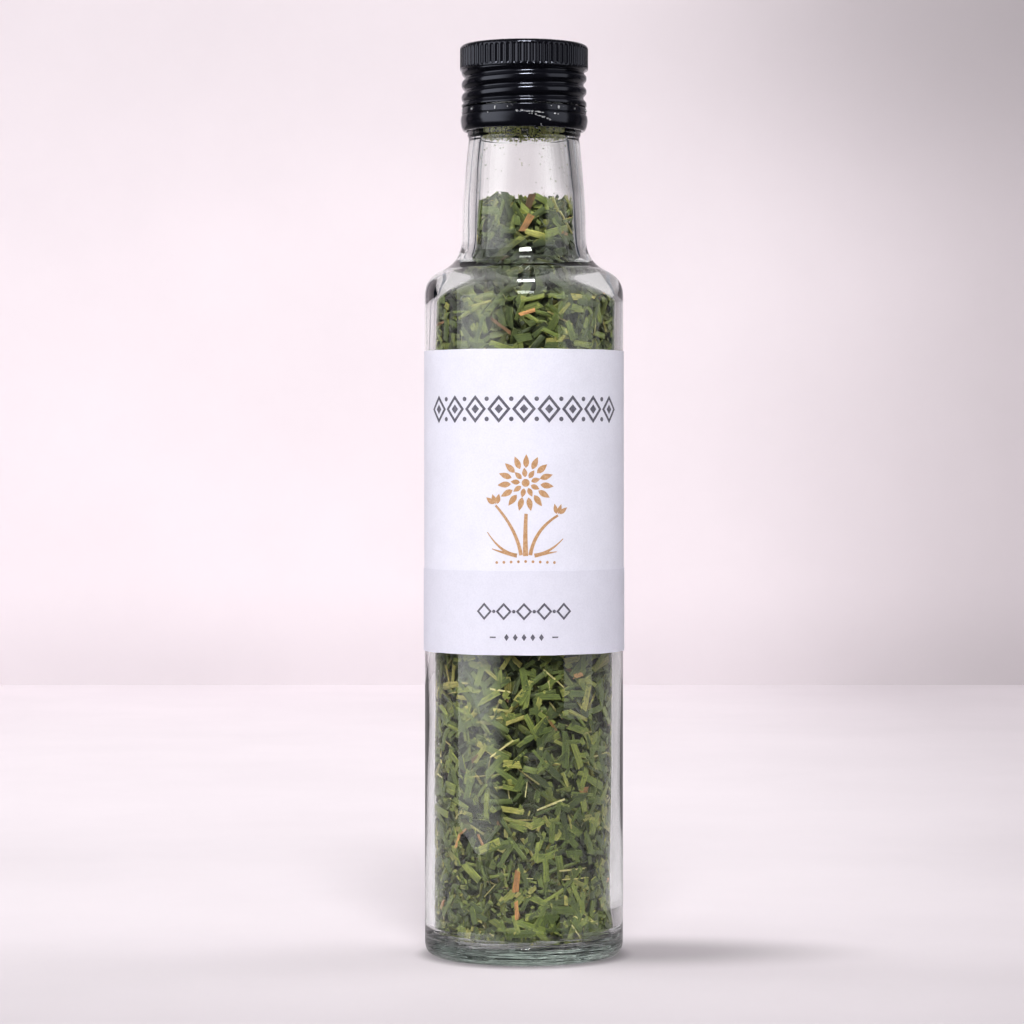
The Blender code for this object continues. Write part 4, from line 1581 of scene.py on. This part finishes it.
    def build(self, green: Material, straw: Material, brown: Material,
              core: Material, pale: Material) -> None:
        """Fill the bottle.

        Args:
            green: Leaf in its greens.
            straw: Pale dry stem.
            brown: Brown and orange bits.
            core: The middle's material, near black as painted shade.
            pale: The dust under the cap, lightened as painted light against the shade there.
        """
        self.build_core(core)
        draw = np.random.default_rng(self.seed)
        angle, height, depth = self.seats(draw)
        order = draw.permutation(len(angle))
        finishes = {Sort.STRAW: straw, Sort.BROWN: brown}
        start = 0
        for sort in Sort:
            kind = sort.value
            count = int(round(kind.share * len(order)))
            chosen = order[start:start + count]
            start += count
            points, _ = self.flake_points(draw, kind, len(chosen))
            laid = self.lay(draw, points, angle[chosen], height[chosen], depth[chosen], 0.22)
            dropped = self.heap(draw, kind, max(4, int(self.top_flakes * kind.share)))
            picked = np.concatenate([laid, dropped])
            # Flakes on the heap take a fixed depth for their painted shade.
            painted_shade_amount = np.concatenate([depth[chosen], np.full(len(dropped), self.heap_painted_shade)])
            if sort is Sort.BROWN:
                picked = np.concatenate([picked, self.picked_bits(draw)])
                painted_shade_amount = np.concatenate([painted_shade_amount, np.array([bit[-1] for bit in self.bits]) * self.painted_shade_depth])
            mesh = self.mesh(kind.name, picked, painted_shade_amount)
            place(kind.name, mesh, finishes.get(sort, green), Body.BOTTLE)
        self.build_dust(draw, green, pale)


# The studio


def polar(azimuth: float, distance: float, height: float) -> Triple:
    """Return a place round the bottle.

    Args:
        azimuth: Degrees to the right of the camera's side.
        distance: Level distance from the axis.
        height: Height above the table.

    Returns:
        The place.
    """
    turn = math.radians(azimuth)
    return (math.sin(turn) * distance, -math.cos(turn) * distance, height)


def turned_to(where: Triple, aim: Triple) -> Euler:
    """Return the rotation that points a camera or a lamp from one place to another."""
    return (Vector(aim) - Vector(where)).to_track_quat("-Z", "Y").to_euler()


@dataclass(frozen=True)
class Softbox:
    """One area light: its place, its width and height, its watts, what it faces and its beam in degrees."""

    name: str
    where: Triple
    size: Pair
    power: float
    aim: Triple = (0.0, 0.0, 0.11)
    spread: float = 180.0
    fade: Pair | None = None

    def build(self) -> bpy.types.Object:
        """Add the light, with its glow faded across its width between the two shares in fade."""
        lamp = bpy.data.lights.new(self.name, "AREA")
        lamp.shape = "RECTANGLE"
        lamp.size, lamp.size_y = self.size
        lamp.energy = self.power
        lamp.spread = math.radians(self.spread)
        if self.fade:
            sheet = NodeSheet(lamp)
            across = sheet.split(sheet.add("NewGeometry").outputs["Parametric"])["X"]
            glow = sheet.rise(across, *self.fade, 1.0, 0.0, smooth=True)
            sheet.link(glow, sheet.tree.nodes["Emission"].inputs["Strength"])
        holder = bpy.data.objects.new(self.name, lamp)
        holder.location = self.where
        holder.rotation_euler = turned_to(self.where, self.aim)
        holder.visible_camera = False
        bpy.context.scene.collection.objects.link(holder)
        return holder


@dataclass(frozen=True)
class Card:
    """A card behind the bottle, at an angle from straight behind, that darkens the glass's edge."""

    name: str
    azimuth: float
    half_width: float
    colour: Colour
    distance: float = 0.7
    heights: Pair = (0.07, 0.6)


@dataclass(frozen=True)
class PaintedFloorShadow:
    """A round painted shadow on the floor: its middle, its stretch, where it starts to fade and ends, and its
    tone.
    """

    centre: Pair
    stretch: Pair
    near: float
    far: float
    low: float


@dataclass
class Studio:
    """The plain floor and wall, the softboxes and the camera."""

    half_width: float = 4.0
    front: float = -2.5
    wall_distance: float = 0.98
    wall_height: float = 0.75
    lens: float = 121.4
    sensor: float = 36.0
    eye: Triple = (0.0, -0.85, 0.124)
    aim: Triple = (0.0, 0.0, 0.109)
    shift_x: float = -12.0 / 1024.0
    table_edge: float = -0.45
    floor_colour: Colour = (0.80, 0.735, 0.775)
    wall_colour: Colour = (0.84, 0.77, 0.805)
    dim: Colour = (0.016, 0.016, 0.018)
    pale: Colour = (0.84, 0.78, 0.81)
    # Painted shade: the floor darkens towards the front.
    painted_floor_falloff: tuple[Pair, ...] = ((0.0, 0.65), (0.15, 0.76), (0.225, 0.80), (0.375, 0.81), (0.54, 0.875),
                                     (0.91, 0.955))
    # Painted shadows: one round the bottle's foot, one beside it to the right.
    painted_floor_shadows: tuple[PaintedFloorShadow, ...] = (
        PaintedFloorShadow((0.0, 0.0), (1.0, 1.0), 0.0215, 0.028, 0.36),
        PaintedFloorShadow((0.028, 0.004), (0.75, 1.5), 0.010, 0.050, 0.60))
    cards: tuple[Card, ...] = (
        Card("grey_card", 27.0, 0.03, (0.40, 0.40, 0.45)),
        Card("black_card", 57.0, 0.055, (0.05, 0.06, 0.085)))
    lamps: tuple[Softbox, ...] = (
        Softbox("key_left", polar(-50, 1.0, 0.375), (1.36, 0.99), 8.0, fade=(0.45, 1.0)),
        Softbox("fill_right", polar(66, 1.15, 0.40), (0.9, 0.90), 2.15),
        Softbox("front_top", polar(3, 0.95, 1.15), (0.42, 0.30), 2.8, spread=70))
    wall_lamp: Softbox = Softbox("wall_wash", (-0.15, 0.25, 1.5), (2.2, 0.5), 26.0, aim=(-0.1, 0.98, 0.2))

    def plain(self, name: str, colour: Colour, mottle: float, roughness: float) -> NodeSheet:
        """Make a plain pale surface.

        Args:
            name: Name of the material.
            colour: Its linear colour.
            mottle: How much darker its clouds are.
            roughness: Its roughness.

        Returns:
            The material's nodes.
        """
        sheet = NodeSheet(name)
        dark = tuple(channel * (1 - mottle) for channel in colour)
        sheet.paint(sheet.ramp(sheet.noise(7.0, 6.0, 0.6), ((0.35, dark), (0.65, colour))))
        sheet.fix(Roughness=roughness, Specular_IOR_Level=0.2)
        return sheet

    def plane(self, name: str, corners: Sequence[Triple], finish: Material) -> bpy.types.Object:
        """Add a stage surface.

        Args:
            name: Its name.
            corners: Its corners.
            finish: Its material.

        Returns:
            The surface.
        """
        mesh = bpy.data.meshes.new(name)
        mesh.from_pydata(corners, [], [(0, 1, 2, 3)])
        mesh.materials.append(finish)
        surface = bpy.data.objects.new(name, mesh)
        bpy.context.scene.collection.objects.link(surface)
        return surface

    def stand_card(self, card: Card, side: int) -> None:
        """Stand a card behind the bottle.

        Args:
            card: The card.
            side: -1 for the left, 1 for the right.
        """
        turn = math.radians(card.azimuth)
        middle = Vector((side * math.sin(turn), math.cos(turn), 0.0)) * card.distance
        across = Vector((side * math.cos(turn), -math.sin(turn), 0.0)) * card.half_width
        left, right = middle - across, middle + across
        low, high = card.heights
        corners = [(left.x, left.y, low), (right.x, right.y, low), (right.x, right.y, high),
                   (left.x, left.y, high)]
        name = f"{card.name}_left" if side < 0 else f"{card.name}_right"
        piece = self.plane(name, corners, self.plain(name, card.colour, 0.2, 0.9).owner)
        piece.visible_camera = piece.visible_diffuse = piece.visible_shadow = False

    def floor_finish(self) -> Material:
        """Return the floor's plaster, with painted shade that darkens it in front and to the right, and
        painted shadows round the bottle's foot and beside it to the right.
        """
        sheet = self.plain("floor_plaster", self.floor_colour, 0.05, 0.75)
        spot = sheet.split(sheet.add("NewGeometry").outputs["Position"])
        depth = sheet.product(sheet.math("ADD", spot["Y"], 0.1), 1.25)
        front = sheet.ramp(depth, tuple((start, (tone, tone, tone)) for start, tone in self.painted_floor_falloff))
        # Painted shade that darkens the floor to the right.
        factor = sheet.product(front, sheet.rise(spot["X"], 0.06, 0.22, 1.0, 0.80, smooth=True))
        for shade in self.painted_floor_shadows:
            across, along = (sheet.product(sheet.math("SUBTRACT", spot[axis], middle), stretch)
                             for axis, middle, stretch in zip("XY", shade.centre, shade.stretch))
            squares = sheet.math("ADD", sheet.product(across, across), sheet.product(along, along))
            distance = sheet.math("SQRT", squares)
            ring = sheet.rise(distance, shade.near, shade.far, shade.low, 1.0, smooth=True)
            factor = sheet.product(factor, ring)
        sheet.shade(factor)
        return sheet.owner

    def wall_finish(self) -> Material:
        """Return the wall's plaster, with painted shade that darkens it towards its right, its top right and
        the table.
        """
        sheet = self.plain("wall_plaster", self.wall_colour, 0.04, 0.9)
        spot = sheet.split(sheet.add("NewGeometry").outputs["Position"])
        right = sheet.rise(spot["X"], 0.08, 0.28, 1.06, 0.76, smooth=True)
        corner = sheet.product(sheet.rise(spot["X"], 0.0, 0.2, 0.10, 0.32, smooth=True),
                               sheet.rise(spot["Z"], 0.2, 0.36, 0.0, 1.0, smooth=True))
        # Painted shade where the wall meets the table.
        low = sheet.rise(spot["Z"], 0.0, 0.06, 0.88, 1.0, smooth=True)
        sheet.shade(sheet.product(right, sheet.math("SUBTRACT", 1.0, corner), low))
        return sheet.owner

    def world(self) -> None:
        """Set the surround: pale for the camera and through the glass from behind, and dim for the rest."""
        world = bpy.data.worlds.new("surround")
        bpy.context.scene.world = world
        sheet = NodeSheet(world)
        ray = sheet.add("LightPath").outputs
        spot = sheet.split(sheet.add("TexCoord").outputs["Generated"])
        level = sheet.rise(spot["Z"], 0.35, 0.55, 1.0, 0.85)
        backdrop = sheet.product(level, sheet.rise(spot["Y"], -0.05, 0.20))
        overhead = sheet.rise(spot["Z"], 0.40, 0.75, 0.0, 0.65)
        through = sheet.product(sheet.math("MAXIMUM", backdrop, overhead), ray["Is Transmission Ray"])
        grazing = sheet.product(sheet.rise(spot["Y"], 0.3, 0.9, 0.0, 0.45), ray["Is Glossy Ray"])
        direct = sheet.math("ADD", grazing, ray["Is Camera Ray"])
        background = sheet.tree.nodes["Background"].inputs
        sheet.link(sheet.mix(sheet.math("ADD", direct, through), self.dim, self.pale), background["Color"])
        background["Strength"].default_value = 1.0

    def build(self) -> None:
        """Set up the studio."""
        floor = self.floor_finish()
        side, back, edge = self.half_width, self.wall_distance, self.table_edge
        table = self.plane("table", [(-side, edge, 0), (side, edge, 0), (side, back, 0),
                                     (-side, back, 0)], floor)
        table.visible_glossy = False
        near = self.plane("floor", [(-side, self.front, 0), (side, self.front, 0), (side, edge, 0),
                                    (-side, edge, 0)], floor)
        near.visible_glossy = near.visible_transmission = False
        self.plane("wall", [(-side, back, 0), (side, back, 0), (side, back, self.wall_height),
                            (-side, back, self.wall_height)], self.wall_finish())
        for sign in (-1, 1):
            for card in self.cards:
                self.stand_card(card, sign)
        for lamp in self.lamps:
            lamp.build()
        wash = self.wall_lamp.build()
        wash.visible_glossy = wash.visible_transmission = False
        self.world()
        self.camera()
        bpy.context.scene.view_settings.view_transform = "Standard"

    def camera(self) -> None:
        """Add the camera at the photograph's angle."""
        lens = bpy.data.cameras.new("camera")
        lens.lens = self.lens
        lens.sensor_width = self.sensor
        lens.shift_x = self.shift_x
        lens.clip_start = 0.01
        holder = bpy.data.objects.new("camera", lens)
        holder.location = self.eye
        holder.rotation_euler = turned_to(self.eye, self.aim)
        bpy.context.scene.collection.objects.link(holder)
        bpy.context.scene.camera = holder


def main() -> None:
    """Build the studio and every piece of the bottle."""
    logging.basicConfig(level=logging.INFO, format="%(message)s")
    Studio().build()
    glass = GlassBottle()
    lacquer = LacquerFinish().build()
    glass.build(GlassFinish().build())
    cap = ScrewCap(glass=glass)
    cap.build_shell(lacquer)
    cap.dress_liner(FoamFinish().build())
    cap.build_band(lacquer)
    TornMetal().build(BareMetalFinish().build())
    Label().build(PaperFinish("white_paper", (0.835, 0.83, 0.93)).build(),
                  PaperFinish("strip_paper", (0.775, 0.768, 0.87)).build(),
                  InkFinish("grey_ink", (0.10, 0.095, 0.125), (0.22, 0.21, 0.25)).build(),
                  InkFinish("tan_ink", (0.50, 0.27, 0.12), (0.66, 0.44, 0.27)).build())
    green = LeafFinish("dried_leaf", ((0.0, (0.022, 0.032, 0.006)), (0.25, (0.048, 0.070, 0.011)),
                                      (0.55, (0.085, 0.114, 0.018)), (0.85, (0.145, 0.170, 0.030)),
                                      (1.0, (0.250, 0.225, 0.060))))
    straw = LeafFinish("straw_stem", ((0.0, (0.20, 0.17, 0.05)), (0.5, (0.34, 0.30, 0.11)),
                                      (1.0, (0.50, 0.46, 0.24))))
    brown = LeafFinish("brown_bits", ((0.0, (0.07, 0.030, 0.012)), (0.5, (0.22, 0.10, 0.03)),
                                      (1.0, (0.50, 0.25, 0.10))))
    # Painted shade: the packed middle is coloured near black for the shade deep among the flakes.
    middle = LeafFinish("packed_middle", ((0.0, (0.016, 0.022, 0.005)), (1.0, (0.022, 0.030, 0.007))))
    # Painted light: the dust under the cap gets a paler leaf tone to lift the shade there.
    dust = LeafFinish("pale_dust", ((0.0, (0.17, 0.19, 0.05)), (0.5, (0.30, 0.33, 0.10)),
                                    (1.0, (0.46, 0.44, 0.20))))
    ChiveFill(glass).build(green.build(), straw.build(), brown.build(), middle.build(), dust.build())


if __name__ == "__main__":
    main()
